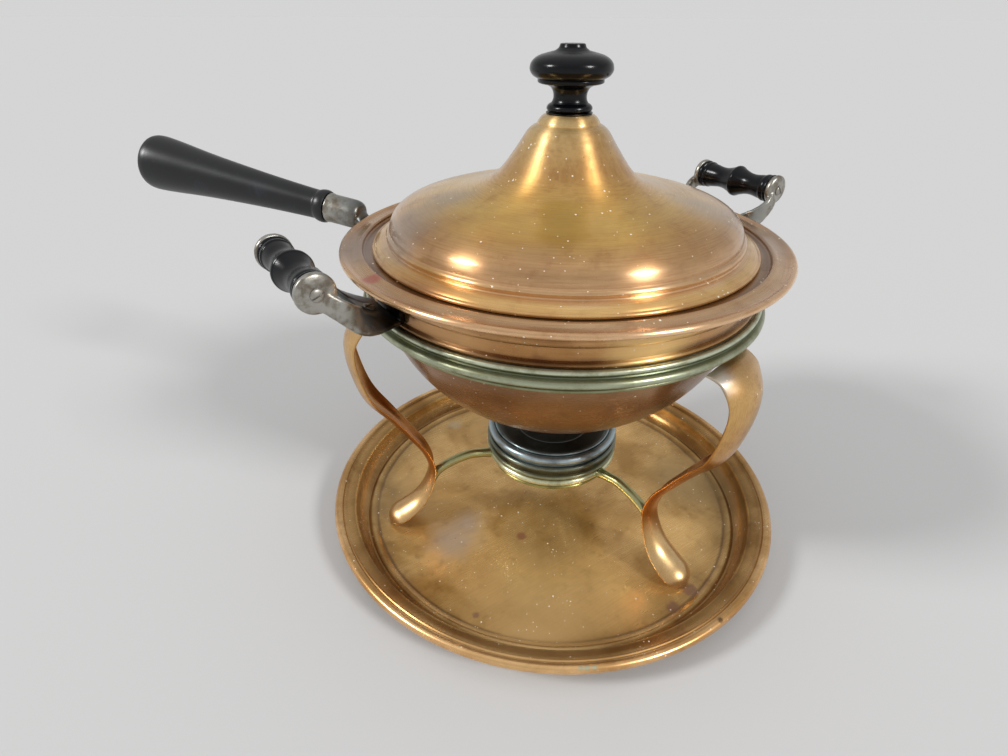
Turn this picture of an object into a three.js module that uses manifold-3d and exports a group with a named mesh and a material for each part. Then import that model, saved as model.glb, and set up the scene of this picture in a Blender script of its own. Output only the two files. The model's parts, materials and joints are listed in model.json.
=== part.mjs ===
// A copper chafing dish on its tray: a spirit burner in a stand with three legs, a water pan,
// a food pan and a lid.
// Millimetres, +Z up. The origin is the middle of the tray's underside, and the round pieces turn about Z.
// The two side grips lie across the X axis.
import * as THREE from "three";
import { mergeVertices } from "three/addons/utils/BufferGeometryUtils.js";
import Module from "manifold-3d";

const wasm = await Module();
wasm.setup();

// General sizes
const gap = 0.3; // between pieces that rest on each other or are soldered together
const largeFacets = 32; // sides of a large turned piece
const mediumFacets = 18; // sides of the burner's pieces
const smallFacets = 12; // sides of knobs, handles and grips
const screwFacets = 8; // sides of screws and holes

// Tray
const trayGauge = 1;
const trayRimRadius = 155;
const trayHeight = 18.7;
const trayFloorRadius = 128;
const trayRimBead = 3;
const trayBrimWidth = 13.4; // from the step above the cove to the rim
const trayBrimRise = 3.4;
const trayFloorBead = 1.9; // height of the low bead round the floor
const trayCoveBulge = 1.6; // how far the cove bows outward and down

// Stand ring, a moulded brass band
const standHeight = 174.1; // from the tray's floor to the ring's top
const ringHeight = 12.2;
const ringBore = 108.2;
const ringWall = 111; // inside of the band, below the inner lip
const ringLip = 1.3; // thickness of the inner lip that carries the water pan
const ringBead = 115.5; // radius over the narrow top bead
const ringBeadSize = 1.5; // radius of its section
const ringBeadRise = 1.3; // its top above the pan's seat
const ringRoll = 117.8; // radius over the main roll
const ringRollSize = 2.2;
const ringRollHeight = 6.7; // its middle above the lower edge
const ringFoot = 112.6; // radius at the lower edge

// Legs, cabriole straps stamped hollow behind
const legAngles = [-80.2, 39.8, 159.8];
const legGauge = 1.5;
const legRoot = 0.2; // middle of the strap outside the ring's lower edge
const kneeRadius = 127;
const kneeDrop = 16.5; // below the ring
const shinRadius = 120;
const shinHeight = 108; // above the tray's floor, like the next heights
const calfRadius = 98.5;
const calfHeight = 74.7;
const ankleRadius = 86.6;
const ankleHeight = 40;
const instepRadius = 94;
const instepHeight = 19.7;
const toeRadius = 119;
const legRootWidth = 40;
const kneeWidth = 33;
const shinWidth = 28;
const calfWidth = 13;
const ankleWidth = 11;
const footWidth = 21;
const legTabWidth = 20; // of the tab soldered behind the ring
const legTabHeight = 7;

// Struts that carry the burner's holder
const strutDiameter = 4.5;
const strutHeight = 47.2; // above the tray's floor, at the holder
const strutCrown = 0.8; // how far the strut first rises
const strutToe = 30; // height of its lower end above the tray's floor
const strutSeat = 2.5; // middle of that end outside the ankle's radius, in the hollow of the leg

// Burner holder, a moulded brass ring with a ledge
const holderRadius = 45; // over its mouldings
const holderFoot = 41.8; // radius at the lower edge
const holderRoll = 2.4; // radius of the main moulding's section, where the struts are soldered
const holderRollHeight = 6.6; // its middle above the lower edge
const holderBead = 1.5; // radius of the two narrow mouldings' sections
const holderBeadHeights = [11.2, 17.8];
const holderBase = 40.9; // lower edge above the tray's floor
const holderHeight = 19.4;
const holderLedge = 4.5; // from the lower edge to the ledge's top
const holderLedgeGauge = 1.5;
const holderOpening = 32; // radius of the open middle

// Burner, a spun can with a beaded mouth
const burnerRadius = 42.4;
const burnerPlay = 0.8; // between the can and the holder
const burnerGauge = 1;
const burnerHeight = 21.8; // can's underside to the top of its bead
const burnerBead = 2.8;
const burnerBeadRadius = 44.4; // over the bead
const packingHeight = 13;
const gauzeThickness = 0.6;
const flameRadius = 25; // opening of the collar
const collarGauge = 1;
const collarHeight = 4;
const snufferGauge = 0.8;
const snufferBead = 0.9;
const snufferRimInset = 2.5; // its rim's middle inside the middle of the can's bead
const snufferRecess = 2.9; // rim's top to the sunk plate

// Water pan
const panPlay = 0.8; // between the bowl and the ring's bore
const waterGauge = 0.9;
const waterShoulder = 3; // width of the step that rests on the ring
const waterSeat = 1.8; // how far the bead at the wall's foot, over the ring, stands proud of it
const waterSeatHeight = 3.4;
const waterRise = 21.6; // shoulder's underside to the top of the rim
const waterRoll = 5.6; // width of the rim's roll, which is pressed flat to an oval
const waterRollHeight = 10.4;
const waterRimRadius = 115;
const waterDepth = 91; // shoulder's underside to the bowl's lowest point, were it not flat
const waterFlat = 34; // radius of the flat bottom
const waterFullness = 1.93; // 2 is an ellipse, more is squarer

// Food pan
const foodGauge = 0.9;
const foodRadius = 104.6; // outside of the wall
const foodDepth = 54; // below the lid's ledge
const foodFullness = 2.7;
const foodStep = 114.6; // inner edge of the flange
const foodStepHeight = 2.6;
const foodRimRadius = 127.4;
const foodRimBead = 1.7;
const foodDish = 1.1; // sag of the flange between its two edges

// Lid
const lidGauge = 0.9;
const lidEdgeRadius = 109.4;
const lidEdgeBead = 1.1;
const lidBeadRadius = 100.9;
const lidBeadHeight = 7.7; // above the lid's seat
const lidShoulderRadius = 97.6;
const lidShoulderHeight = 13.9;
const lidSaddleRadius = 45.4;
const lidSaddleHeight = 32.2;
const lidNeckRadius = 21.2;
const lidNeckHeight = 60;
const lidCrownRadius = 13.4;
const lidHeight = 67.7;

// Knob, its collar, screw and washer
const knobRadius = 21.4;
const knobHeight = 31.2;
const knobFoot = 11.5;
const knobNeck = 8.4;
const knobLip = 17.2;
const knobTop = 6.4;
const knobBall = 4.9; // radius of the ball's edge
const knobCollarThickness = 0.6;
const knobCollarRadius = 12.2;
const knobScrewRadius = 1.9;
const knobScrewReach = 13; // into the wood
const screwHole = 0.4; // radial play of a screw in its hole
const knobScrewHead = 4;
const washerRadius = 8;
const washerThickness = 1.2;

// Side grips and their cast brackets, in a frame with the pan's axis at x = 0 and the grip along y
const gripReach = 155.6; // pan's axis to the grip's axis
const gripRise = 36.6; // ring's top to the grip's axis
const gripLength = 55.5;
const gripEnd = 8.9;
const gripCove = 6.8;
const gripBead = 10;
const discRadius = 9.3;
const discThickness = 4.2;
const discDome = 1.2;
const webThickness = 3.2;
const webRise = 4; // ring's top to the web's underside at the root
const webClimb = 27; // from the root to the height of the discs, followed by the web and the arms
const webCurve = 1.8; // power of the climb
const webRootReach = 113.8;
const webRootHalf = 18;
const webForkReach = 130; // where the arms part
const armSpread = 32.8; // middle of an arm where it stands widest
const armSpreadShare = 0.66; // share of the way from the fork to the grip where they do
const armWidth = 15;
const armNeckWidth = 9;
const armThickness = 3.4;
const gripScrewRadius = 1.7;
const gripScrewHead = 3.1;
const gripScrewLength = 14;
const lugAngle = 7; // half of the angle that the soldered lug covers
const lugThickness = 2.4;
const lugHeight = 7.2;
const lugTongueReach = 129;
const lugTongueHalf = 7;
const webScrewReach = 123.5;
const webScrewRadius = 1.8;
const webScrewHead = 3.6;

// Long handle, in a frame with the pan's axis at x = 0
const handleAngle = 128.3;
const handleSlope = 8.6;
const handleReach = 160.5; // pan's axis to the start of the wood
const handleRise = 5.7; // lid's seat to the handle's axis there
const handleLength = 130;
const handleEnd = 17.7;
const handleNeck = 9.1;
const spigotRadius = 6.2;
const spigotLength = 13;
const socketRadius = 9;
const socketLength = 21;
const tangRadius = 2;
const tangLength = 80;
const tongueHalf = 6;
const tongueThickness = 2.6;
const saddleWidth = 4.8;
const saddleAngle = 9.5; // half of the angle of the pad soldered under the flange

// Materials
function metal(color, roughness) {
  return new THREE.MeshStandardMaterial({ color, roughness, metalness: 1 });
}
const copper = metal(0xb5703a, 0.32);
const agedCopper = metal(0x9c7038, 0.42);
const brass = metal(0xa79a5a, 0.38);
const nickel = metal(0x8b8578, 0.42);
const darkMetal = metal(0x4c5158, 0.4);
const steel = metal(0x8a8a86, 0.45);
const blackWood = new THREE.MeshStandardMaterial({ color: 0x0b0b0d, roughness: 0.25 });
const mineralWool = new THREE.MeshStandardMaterial({ color: 0xc9c2ae, roughness: 1 });

// Outlines, as points of radius and height, with the material on their left
const radians = THREE.MathUtils.degToRad;
const at = (radius, height) => new THREE.Vector2(radius, height);

function arc(radius, height, size, from, to, steps) {
  return Array.from({ length: steps + 1 }, (_, i) => {
    const angle = radians(from + ((to - from) * i) / steps);
    return at(radius + size * Math.cos(angle), height + size * Math.sin(angle));
  });
}

function spline(points, steps) {
  return new THREE.SplineCurve(points).getPoints(steps);
}

// Wall of a bowl from its flat bottom out to its mouth, a quarter of a superellipse
function bowl(mouth, mouthHeight, depth, fullness, flat, steps) {
  const lift = (radius) => depth * (1 - (radius / mouth) ** fullness) ** (1 / fullness);
  const start = Math.asin((flat / mouth) ** (fullness / 2));
  const wall = Array.from({ length: steps + 1 }, (_, i) => {
    const radius = mouth * Math.sin(start + ((Math.PI / 2 - start) * i) / steps) ** (2 / fullness);
    return at(radius, mouthHeight - lift(radius));
  });
  return [at(0, wall[0].y), ...wall];
}

// Other side of a sheet, drawn back along it: each point moved square to the sheet, to the left
function otherSide(face, gauge) {
  return face
    .map((here, i) => {
      const into = here.clone().sub(face[Math.max(i - 1, 0)]).normalize();
      const outOf = face[Math.min(i + 1, face.length - 1)].clone().sub(here).normalize();
      const along = into.clone().add(outOf).normalize();
      const mitre = gauge / along.dot(into.lengthSq() > 0 ? into : outOf);
      return at(here.x - along.y * mitre, here.y + along.x * mitre);
    })
    .reverse();
}

// Solids
function turned(outline, facets) {
  const closed = outline[0].x === 0 ? outline : [...outline, outline[0]];
  return new THREE.LatheGeometry(closed, facets).rotateX(Math.PI / 2);
}

// Radius that the flats of a faceted circle come in to, as a share of the radius of its corners
function insideFacets(facets) {
  return Math.cos(Math.PI / facets);
}

function disc(radius, bottom, top, facets) {
  return turned([at(0, bottom), at(radius, bottom), at(radius, top), at(0, top)], facets);
}

function washer(bore, radius, bottom, top, facets) {
  return turned([at(bore, bottom), at(radius, bottom), at(radius, top), at(bore, top)], facets);
}

// Skin over rings of points that match one to one, closed by a strip across the first and the last ring
function loft(rings) {
  const count = rings[0].length;
  const last = (rings.length - 1) * count;
  const faces = [];
  const quad = (a, b, c, d) => faces.push(a, b, c, a, c, d);
  for (let ring = 0; ring < last; ring += count)
    for (let i = 0; i < count; i += 1) {
      const next = (i + 1) % count;
      quad(ring + i, ring + next, ring + count + next, ring + count + i);
    }
  for (let i = 0; i < count / 2 - 1; i += 1) {
    quad(count - 1 - i, count - 2 - i, i + 1, i);
    quad(last + i, last + i + 1, last + count - 2 - i, last + count - 1 - i);
  }
  const geometry = new THREE.BufferGeometry().setFromPoints(rings.flat());
  geometry.setIndex(faces);
  geometry.computeVertexNormals();
  return geometry;
}

// Pad between two radii and two heights, half of its angle on each side of the X axis
function sector(inner, outer, bottom, top, half) {
  const shape = new THREE.Shape();
  shape.absarc(0, 0, outer, -radians(half), radians(half), false);
  shape.absarc(0, 0, inner, radians(half), -radians(half), true);
  const options = { depth: top - bottom, bevelEnabled: false, curveSegments: 4 };
  return new THREE.ExtrudeGeometry(shape, options).translate(0, 0, bottom);
}

function solid(geometry) {
  const bare = geometry.clone();
  bare.deleteAttribute("normal");
  bare.deleteAttribute("uv");
  const merged = mergeVertices(bare, 1e-3);
  const triVerts = new Uint32Array(merged.index.array);
  const vertProperties = merged.attributes.position.array;
  return new wasm.Manifold(new wasm.Mesh({ numProp: 3, vertProperties, triVerts }));
}

function surface(body) {
  const { vertProperties, triVerts } = body.getMesh();
  const geometry = new THREE.BufferGeometry();
  geometry.setAttribute("position", new THREE.BufferAttribute(vertProperties, 3));
  geometry.setIndex(new THREE.BufferAttribute(triVerts, 1));
  geometry.computeVertexNormals();
  return geometry;
}

function combine(added, removed = []) {
  const joined = added.map(solid).reduce((sum, body) => sum.add(body));
  return surface(removed.map(solid).reduce((rest, body) => rest.subtract(body), joined));
}

// Model
const model = new THREE.Group();

function piece(name, geometry, material, parent = model) {
  const mesh = new THREE.Mesh(geometry, material);
  mesh.name = name;
  parent.add(mesh);
  return mesh;
}

function turnedGroup(angle) {
  const group = new THREE.Group();
  group.rotation.z = radians(angle);
  model.add(group);
  return group;
}

// Heights that follow from the stack of pieces
const floorTop = trayGauge;
const ringTop = floorTop + standHeight;
const ringBottom = ringTop - ringHeight;
const shoulderHeight = ringTop + gap;
const waterTop = shoulderHeight + waterRise;
const ledgeUnder = waterTop + gap;
const lidSeat = ledgeUnder + foodGauge + gap;
const flangeTop = ledgeUnder + foodGauge + foodStepHeight;
const gripHeight = ringTop + gripRise;

// Tray: floor, low bead, cove, brim and rolled rim
const brimStep = at(trayRimRadius - trayBrimWidth, trayHeight - trayBrimRise - trayGauge);
const beadSlope = 1.5 * trayFloorBead;
const coveFoot = at(trayFloorRadius + 2 * beadSlope, trayFloorBead / 2);
const coveMiddle = coveFoot.clone().lerp(brimStep, 0.5).add(at(trayCoveBulge, -trayCoveBulge));
const rimCentre = at(trayRimRadius - trayRimBead, trayHeight - trayRimBead);
const trayUnderside = [
  at(0, 0),
  at(trayFloorRadius, 0),
  at(trayFloorRadius + beadSlope, trayFloorBead),
  ...spline([coveFoot, coveMiddle, brimStep], 3),
  at(brimStep.x + 1.4, brimStep.y + 0.3),
  at(rimCentre.x - trayRimBead * 0.9, trayHeight - trayGauge * 1.8),
];
const trayRim = arc(rimCentre.x, rimCentre.y, trayRimBead, 190, 450, 5);
piece(
  "tray",
  turned([...trayUnderside, ...trayRim, ...otherSide(trayUnderside, trayGauge)], largeFacets),
  agedCopper,
);

// Stand ring: foot, main roll, top bead and the lip that the water pan sits on
piece(
  "stand_ring",
  turned(
    [
      at(ringWall, ringBottom),
      at(ringFoot, ringBottom),
      at(ringFoot + 0.4, ringBottom + 1.2),
      at(ringFoot, ringBottom + 2.4),
      ...arc(ringRoll - ringRollSize, ringBottom + ringRollHeight, ringRollSize, -75, 75, 3),
      ...arc(ringBead - ringBeadSize, ringTop + ringBeadRise - ringBeadSize, ringBeadSize, -40, 170, 4),
      at(ringBore, ringTop),
      at(ringBore, ringTop - ringLip),
      at(ringWall, ringTop - ringLip),
    ],
    largeFacets,
  ),
  brass,
);

// Legs: each station of the strap has a middle point, a width and a crown
const legTop = ringBottom - gap;
const toeHeight = floorTop + gap + legGauge;
const legPath = new THREE.SplineCurve([
  at(ringFoot + legRoot, legTop),
  at((legRoot + ringFoot + kneeRadius) / 2 + 2, legTop - kneeDrop * 0.3),
  at(kneeRadius, ringBottom - kneeDrop),
  at(kneeRadius - 1, ringBottom - kneeDrop * 2),
  at(shinRadius, floorTop + shinHeight),
  at((shinRadius + calfRadius) / 2 - 1, floorTop + (shinHeight + calfHeight) / 2),
  at(calfRadius, floorTop + calfHeight),
  at((calfRadius + ankleRadius) / 2 - 3, floorTop + (calfHeight + ankleHeight) / 2),
  at(ankleRadius, floorTop + ankleHeight),
  at(instepRadius, floorTop + instepHeight),
  at((instepRadius + toeRadius) / 2 - 1, (floorTop + instepHeight + toeHeight) / 2 - 2.5),
  at(toeRadius, toeHeight),
]);

// Width and crown of the strap at ways along it, from 0 at the ring to 1 at the toe
const legWidths = [
  [0, legRootWidth],
  [0.12, kneeWidth],
  [0.3, shinWidth],
  [0.46, calfWidth],
  [0.74, ankleWidth],
  [0.86, footWidth * 0.85],
  [0.93, footWidth],
  [0.97, footWidth * 0.85],
  [1, footWidth * 0.4],
];
const legCrowns = [
  [0, legRootWidth ** 2 / (8 * ringFoot)],
  [0.12, kneeWidth * 0.15],
  [0.46, calfWidth * 0.33],
  [0.74, ankleWidth * 0.35],
  [0.86, footWidth * 0.26],
  [0.93, footWidth * 0.29],
  [1, footWidth * 0.05],
];
const legStations = 19;
const strapColumns = [1, 0.6, 0, -0.6, -1];

function along(table, way) {
  const next = Math.max(1, table.findIndex(([start]) => start >= way));
  const [from, before] = table[next - 1];
  const [to, after] = table[next];
  return THREE.MathUtils.lerp(before, after, (way - from) / (to - from));
}

function legRing(way) {
  const middle = legPath.getPointAt(way);
  const heading = legPath.getTangentAt(way);
  const outward = at(-heading.y, heading.x);
  const width = along(legWidths, way);
  const crown = along(legCrowns, way);
  const strap = (across, depth) =>
    new THREE.Vector3(middle.x + outward.x * depth, (across * width) / 2, middle.y + outward.y * depth);
  const outer = strapColumns.map((across) => strap(across, crown * (1 - across ** 2)));
  const inner = strapColumns.map((across) => strap(across, crown * (1 - across ** 2) - legGauge));
  return [...outer, ...inner.reverse()];
}

const legStrap = loft(Array.from({ length: legStations + 1 }, (_, i) => legRing(i / legStations)));
const underRing = washer(ringBore, kneeRadius, legTop, ringTop, largeFacets);
const tabOuter = ringWall * insideFacets(largeFacets) - gap - legTabWidth ** 2 / (8 * ringWall);
const legTab = new THREE.BoxGeometry(legGauge, legTabWidth, legTabHeight + legGauge);
legTab.translate(tabOuter - legGauge / 2, 0, legTop + (legTabHeight - legGauge) / 2);
const bridgeReach = ringFoot + legGauge - tabOuter + legGauge;
const legBridge = new THREE.BoxGeometry(bridgeReach, legTabWidth, legGauge);
legBridge.translate(tabOuter - legGauge + bridgeReach / 2, 0, legTop - legGauge / 2);
const legGeometry = combine([combine([legStrap], [underRing]), legTab, legBridge]);

// Struts: a rod that rises from the holder, arches and runs down behind the leg's ankle
const strutRadius = strutDiameter / 2;
const strutStart = holderRadius * insideFacets(mediumFacets) + gap;
const strutFoot = ankleRadius + strutSeat;
const strutLevel = floorTop + strutHeight;
const strutPath = new THREE.CatmullRomCurve3(
  [
    at(strutStart, strutLevel),
    at(holderRadius + 15, strutLevel + strutCrown),
    at((holderRadius + strutFoot) / 2 + 5.5, strutLevel - 3.2),
    at(strutFoot - 5, strutLevel - 9.5),
    at(strutFoot, floorTop + strutToe),
  ].map((point) => new THREE.Vector3(point.x, 0, point.y)),
);
const strutSection = new THREE.Shape(arc(0, 0, strutRadius, 0, 360, 6).slice(0, 6));
const strutOptions = { steps: 8, bevelEnabled: false, extrudePath: strutPath };

legAngles.forEach((angle, i) => {
  const quarter = turnedGroup(angle);
  piece(`leg_${i + 1}`, legGeometry, copper, quarter);
  piece(`burner_strut_${i + 1}`, new THREE.ExtrudeGeometry(strutSection, strutOptions), brass, quarter);
});

// Burner holder: foot, three mouldings, bore and ledge
const holderBottom = floorTop + holderBase;
const holderTop = holderBottom + holderHeight;
const ledgeTop = holderBottom + holderLedge;
const holderBore = burnerRadius + burnerPlay;
piece(
  "burner_holder",
  turned(
    [
      at(holderOpening, ledgeTop - holderLedgeGauge),
      at(holderFoot - 2, ledgeTop - holderLedgeGauge),
      at(holderFoot - 1.6, holderBottom),
      at(holderFoot, holderBottom),
      at(holderFoot + 0.5, holderBottom + 1.2),
      at(holderFoot, holderBottom + 3),
      ...arc(holderRadius - holderRoll, holderBottom + holderRollHeight, holderRoll, -70, 70, 3),
      ...holderBeadHeights.flatMap((height) =>
        arc(holderRadius - holderBead, holderBottom + height, holderBead, -60, 60, 2),
      ),
      at(holderBore, holderTop),
      at(holderBore, ledgeTop),
      at(holderOpening, ledgeTop),
    ],
    mediumFacets,
  ),
  brass,
);

// Burner can, and inside it the packing, the gauze and the collar that holds them down
const canBottom = ledgeTop + gap;
const canFloor = canBottom + burnerGauge;
const beadCentre = at(burnerBeadRadius - burnerBead, canBottom + burnerHeight - burnerBead);
piece(
  "burner_can",
  turned(
    [
      at(0, canBottom),
      at(burnerRadius - 1.8, canBottom),
      at(burnerRadius, canBottom + 1.8),
      ...arc(beadCentre.x, beadCentre.y, burnerBead, -72, 240, 6),
      at(burnerRadius - burnerGauge, beadCentre.y - burnerBead),
      at(burnerRadius - burnerGauge, canFloor + 1),
      at(burnerRadius - burnerGauge - 1, canFloor),
      at(0, canFloor),
    ],
    mediumFacets,
  ),
  darkMetal,
);
const packingTop = canFloor + gap + packingHeight;
const packingRadius = burnerRadius - burnerGauge - gap;
piece("wick_packing", disc(packingRadius - 0.4, canFloor + gap, packingTop, mediumFacets), mineralWool);
const collarRadius = beadCentre.x - burnerBead - gap;
const gauzeTop = packingTop + gap + gauzeThickness;
piece("wick_gauze", disc(collarRadius, packingTop + gap, gauzeTop, mediumFacets), steel);
const collarFace = [
  at(flameRadius, gauzeTop + gap),
  at(collarRadius - 1, gauzeTop + gap),
  at(collarRadius, gauzeTop + gap + 1),
  at(collarRadius, gauzeTop + gap + collarHeight),
];
piece(
  "burner_collar",
  turned([...collarFace, ...otherSide(collarFace, collarGauge)], mediumFacets),
  darkMetal,
);

// Snuffer, a dished lid whose rolled rim rests inside the can's bead
const snufferReach = burnerBead + snufferBead + gap;
const snufferRim = at(
  beadCentre.x - snufferRimInset,
  beadCentre.y + Math.sqrt(snufferReach ** 2 - snufferRimInset ** 2),
);
const snufferPlate = snufferRim.y + snufferBead - snufferRecess - snufferGauge;
const snufferFace = [
  at(0, snufferPlate),
  at(snufferRim.x * 0.62, snufferPlate),
  at(snufferRim.x * 0.66, snufferPlate + 0.5),
  at(snufferRim.x - 2.7, snufferPlate + 0.5),
  at(snufferRim.x - 0.9, snufferRim.y - 0.5),
];
const snufferRoll = arc(snufferRim.x, snufferRim.y, snufferBead, -130, 110, 4);
piece(
  "snuffer_lid",
  turned([...snufferFace, ...snufferRoll, ...otherSide(snufferFace, snufferGauge)], mediumFacets),
  darkMetal,
);

// Water pan: bowl, shoulder on the ring, seat bead, wall and a rim rolled over and flattened
const waterBowl = ringBore - panPlay;
const waterWall = waterBowl + waterShoulder;
const waterSeatRadius = waterWall + waterSeat;
const waterSeatTop = shoulderHeight + waterSeatHeight;
const waterRim = at(waterRimRadius - waterRoll / 2, waterTop - waterRollHeight / 2);
const waterRimRoll = arc(0, 0, 0.5, -125, 150, 5).map((point) =>
  at(waterRim.x + point.x * waterRoll, waterRim.y + point.y * waterRollHeight),
);
const waterFace = [
  ...bowl(waterBowl, shoulderHeight, waterDepth, waterFullness, waterFlat, 6),
  at(waterSeatRadius - 0.9, shoulderHeight),
  at(waterSeatRadius, shoulderHeight + 0.9),
  at(waterSeatRadius - 0.3, waterSeatTop - 1.6),
  at(waterWall, waterSeatTop),
  at(waterWall, waterRim.y - waterRollHeight * 0.45),
];
piece(
  "water_pan",
  turned([...waterFace, ...waterRimRoll, ...otherSide(waterFace, waterGauge)], largeFacets),
  copper,
);

// Food pan: bowl, ledge for the lid, step, dished flange and rolled rim
const foodRim = at(foodRimRadius - foodRimBead, flangeTop - foodRimBead);
const flangeMiddle = at((foodStep + foodRim.x) / 2, flangeTop - foodDish - foodGauge);
const foodFace = [
  ...bowl(foodRadius, ledgeUnder, foodDepth, foodFullness, foodRadius * 0.66, 5),
  at(foodStep + foodGauge, ledgeUnder),
  at(foodStep + foodGauge, flangeTop - foodGauge - 1),
  at(foodStep + foodGauge + 1, flangeTop - foodGauge - 0.2),
  flangeMiddle,
  at(foodRim.x - foodRimBead * 0.8, flangeTop - foodGauge),
];
piece(
  "food_pan",
  turned(
    [
      ...foodFace,
      ...arc(foodRim.x, foodRim.y, foodRimBead, 160, 450, 5),
      ...otherSide(foodFace, foodGauge),
    ],
    largeFacets,
  ),
  copper,
);

// Lid: rolled edge, flared skirt, bead, shoulder, saddle, neck and crown
const lidEdge = at(lidEdgeRadius - lidEdgeBead, lidSeat + lidEdgeBead);
const lidTop = lidSeat + lidHeight;
const lidAt = (radius, height) => at(radius, lidSeat + height);
const lidOutside = [
  lidAt(lidBeadRadius + 0.4, lidBeadHeight - 2.2),
  lidAt(lidBeadRadius, lidBeadHeight),
  lidAt(lidBeadRadius - 1.6, lidBeadHeight + 2.2),
  ...spline(
    [
      lidAt(lidShoulderRadius, lidShoulderHeight),
      lidAt(lidShoulderRadius - 6, lidShoulderHeight + 5),
      lidAt((lidShoulderRadius + lidSaddleRadius) / 2, (lidShoulderHeight + lidSaddleHeight) / 2 + 2),
      lidAt(lidSaddleRadius, lidSaddleHeight),
      lidAt((lidSaddleRadius + lidNeckRadius) / 2 - 2, (lidSaddleHeight + lidNeckHeight) / 2 - 0.6),
      lidAt(lidNeckRadius, lidNeckHeight),
    ],
    8,
  ),
  lidAt(lidCrownRadius + 3.4, lidHeight - 4.4),
  lidAt(lidCrownRadius + 1.6, lidHeight - 1.2),
  lidAt(lidCrownRadius, lidHeight),
  lidAt(knobScrewRadius + screwHole, lidHeight),
];
const lidRoll = arc(lidEdge.x, lidEdge.y, lidEdgeBead, -170, 70, 4);
piece(
  "lid",
  turned([...lidRoll, ...lidOutside, ...otherSide(lidOutside, lidGauge)], largeFacets),
  copper,
);

// Knob: foot bead, neck, lip, flattened ball and top nub, bored for its screw
const collarBottom = lidTop + gap;
const knobBottom = collarBottom + knobCollarThickness + gap;
const knobAt = (radius, height) => at(radius, knobBottom + height);
const boreRadius = knobScrewRadius + screwHole;
const screwEnd = knobBottom + knobScrewReach;
piece(
  "lid_knob",
  turned(
    [
      at(0, screwEnd + gap),
      at(boreRadius, screwEnd + gap),
      at(boreRadius, knobBottom),
      knobAt(knobFoot - 1.2, 0),
      knobAt(knobFoot, 1.6),
      knobAt(knobFoot - 0.7, 3.6),
      knobAt(knobNeck, 7.4),
      knobAt(knobNeck + 1, 11.8),
      knobAt(knobLip - 2, 14.6),
      knobAt(knobLip, 15.6),
      knobAt(knobLip - 0.2, 17.2),
      ...arc(knobRadius - knobBall, knobBottom + knobHeight - 10.4, knobBall, -60, 62, 5),
      knobAt(knobTop + 3.4, knobHeight - 3.6),
      knobAt(knobTop, knobHeight - 1.8),
      knobAt(knobTop, knobHeight),
      at(0, knobBottom + knobHeight),
    ],
    smallFacets + 2,
  ),
  blackWood,
);

const collarTop = collarBottom + knobCollarThickness;
piece("knob_collar", washer(boreRadius, knobCollarRadius, collarBottom, collarTop, smallFacets), nickel);
const washerTop = lidTop - lidGauge - gap;
const washerBottom = washerTop - washerThickness;
piece("knob_washer", washer(boreRadius, washerRadius, washerBottom, washerTop, screwFacets), steel);

// Screw along Z with a domed, slotted head below or above its shank: tip and seat are heights
function screw(shank, head, tip, seatHeight) {
  const side = Math.sign(tip - seatHeight);
  const crown = seatHeight - side * head * 0.55;
  const half = [
    at(0, crown),
    at(head * 0.6, crown + side * head * 0.1),
    at(head, seatHeight - side * head * 0.16),
    at(head, seatHeight),
    at(shank, seatHeight),
    at(shank, tip),
    at(0, tip),
  ];
  const slot = new THREE.BoxGeometry(head * 2.2, head * 0.26, head * 0.5).translate(0, 0, crown);
  return combine([turned(side > 0 ? half : half.reverse(), screwFacets)], [slot]);
}

piece("knob_screw", screw(knobScrewRadius, knobScrewHead, screwEnd, washerBottom - gap), steel);

// Side grips: the underside of the web and of the arms climbs as a power of the reach
const webUnder = (reach) =>
  ringTop + webRise + webClimb * (Math.max(reach - ringBore, 0) / (gripReach - ringBore)) ** webCurve;
const waterSkin = waterWall + gap;

// Flat bar with chamfered corners across the heading, at an angle of twist about it
function barRing(middle, heading, twist, half, thickness) {
  const level = new THREE.Vector3(0, 1, 0);
  const across = level.applyAxisAngle(heading, -twist);
  const upward = heading.clone().cross(across);
  const chamfer = thickness * 0.3;
  const deep = thickness / 2;
  return [
    [half, chamfer - deep],
    [half, deep - chamfer],
    [half - chamfer, deep],
    [chamfer - half, deep],
    [-half, deep - chamfer],
    [-half, chamfer - deep],
    [chamfer - half, -deep],
    [half - chamfer, -deep],
  ].map(([y, z]) => middle.clone().addScaledVector(across, y).addScaledVector(upward, z));
}

// Bar along a path of stations, each with its middle, half width and twist in degrees
function bar(stations, thickness) {
  const path = new THREE.CatmullRomCurve3(stations.map((station) => station.middle));
  return loft(
    stations.map(({ middle, half, twist }, i) =>
      barRing(middle, path.getTangent(i / (stations.length - 1)), radians(twist), half, thickness),
    ),
  );
}

function webStation(reach, half) {
  const middle = new THREE.Vector3(reach, 0, webUnder(reach) + webThickness / 2);
  return { middle, half, twist: 0 };
}

function armStation(side, reach, y, lift, half, twist) {
  const middle = new THREE.Vector3(reach, side * y, webUnder(reach) + armThickness / 2 + lift);
  return { middle, half, twist: side * twist };
}

function arm(side) {
  const neck = armNeckWidth / 2;
  const wide = armWidth / 2;
  const spread = (gripReach - webForkReach) * armSpreadShare;
  return bar(
    [
      armStation(side, webRootReach + 3, armSpread * 0.3, 0, wide, 0),
      armStation(side, webForkReach - 3, armSpread * 0.56, 0.3, wide, 4),
      armStation(side, webForkReach + spread * 0.3, armSpread * 0.8, 1.2, wide, 16),
      armStation(side, webForkReach + spread * 0.66, armSpread * 0.94, 2.6, wide * 0.9, 40),
      armStation(side, webForkReach + spread, armSpread, 3.4, wide * 0.74, 68),
      armStation(side, (webForkReach + spread + gripReach) / 2, armSpread * 0.97, 3.2, neck * 1.08, 86),
      armStation(side, gripReach - 0.8, gripLength / 2 + discThickness * 0.6, 2.6, neck, 90),
    ],
    armThickness,
  );
}

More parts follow.
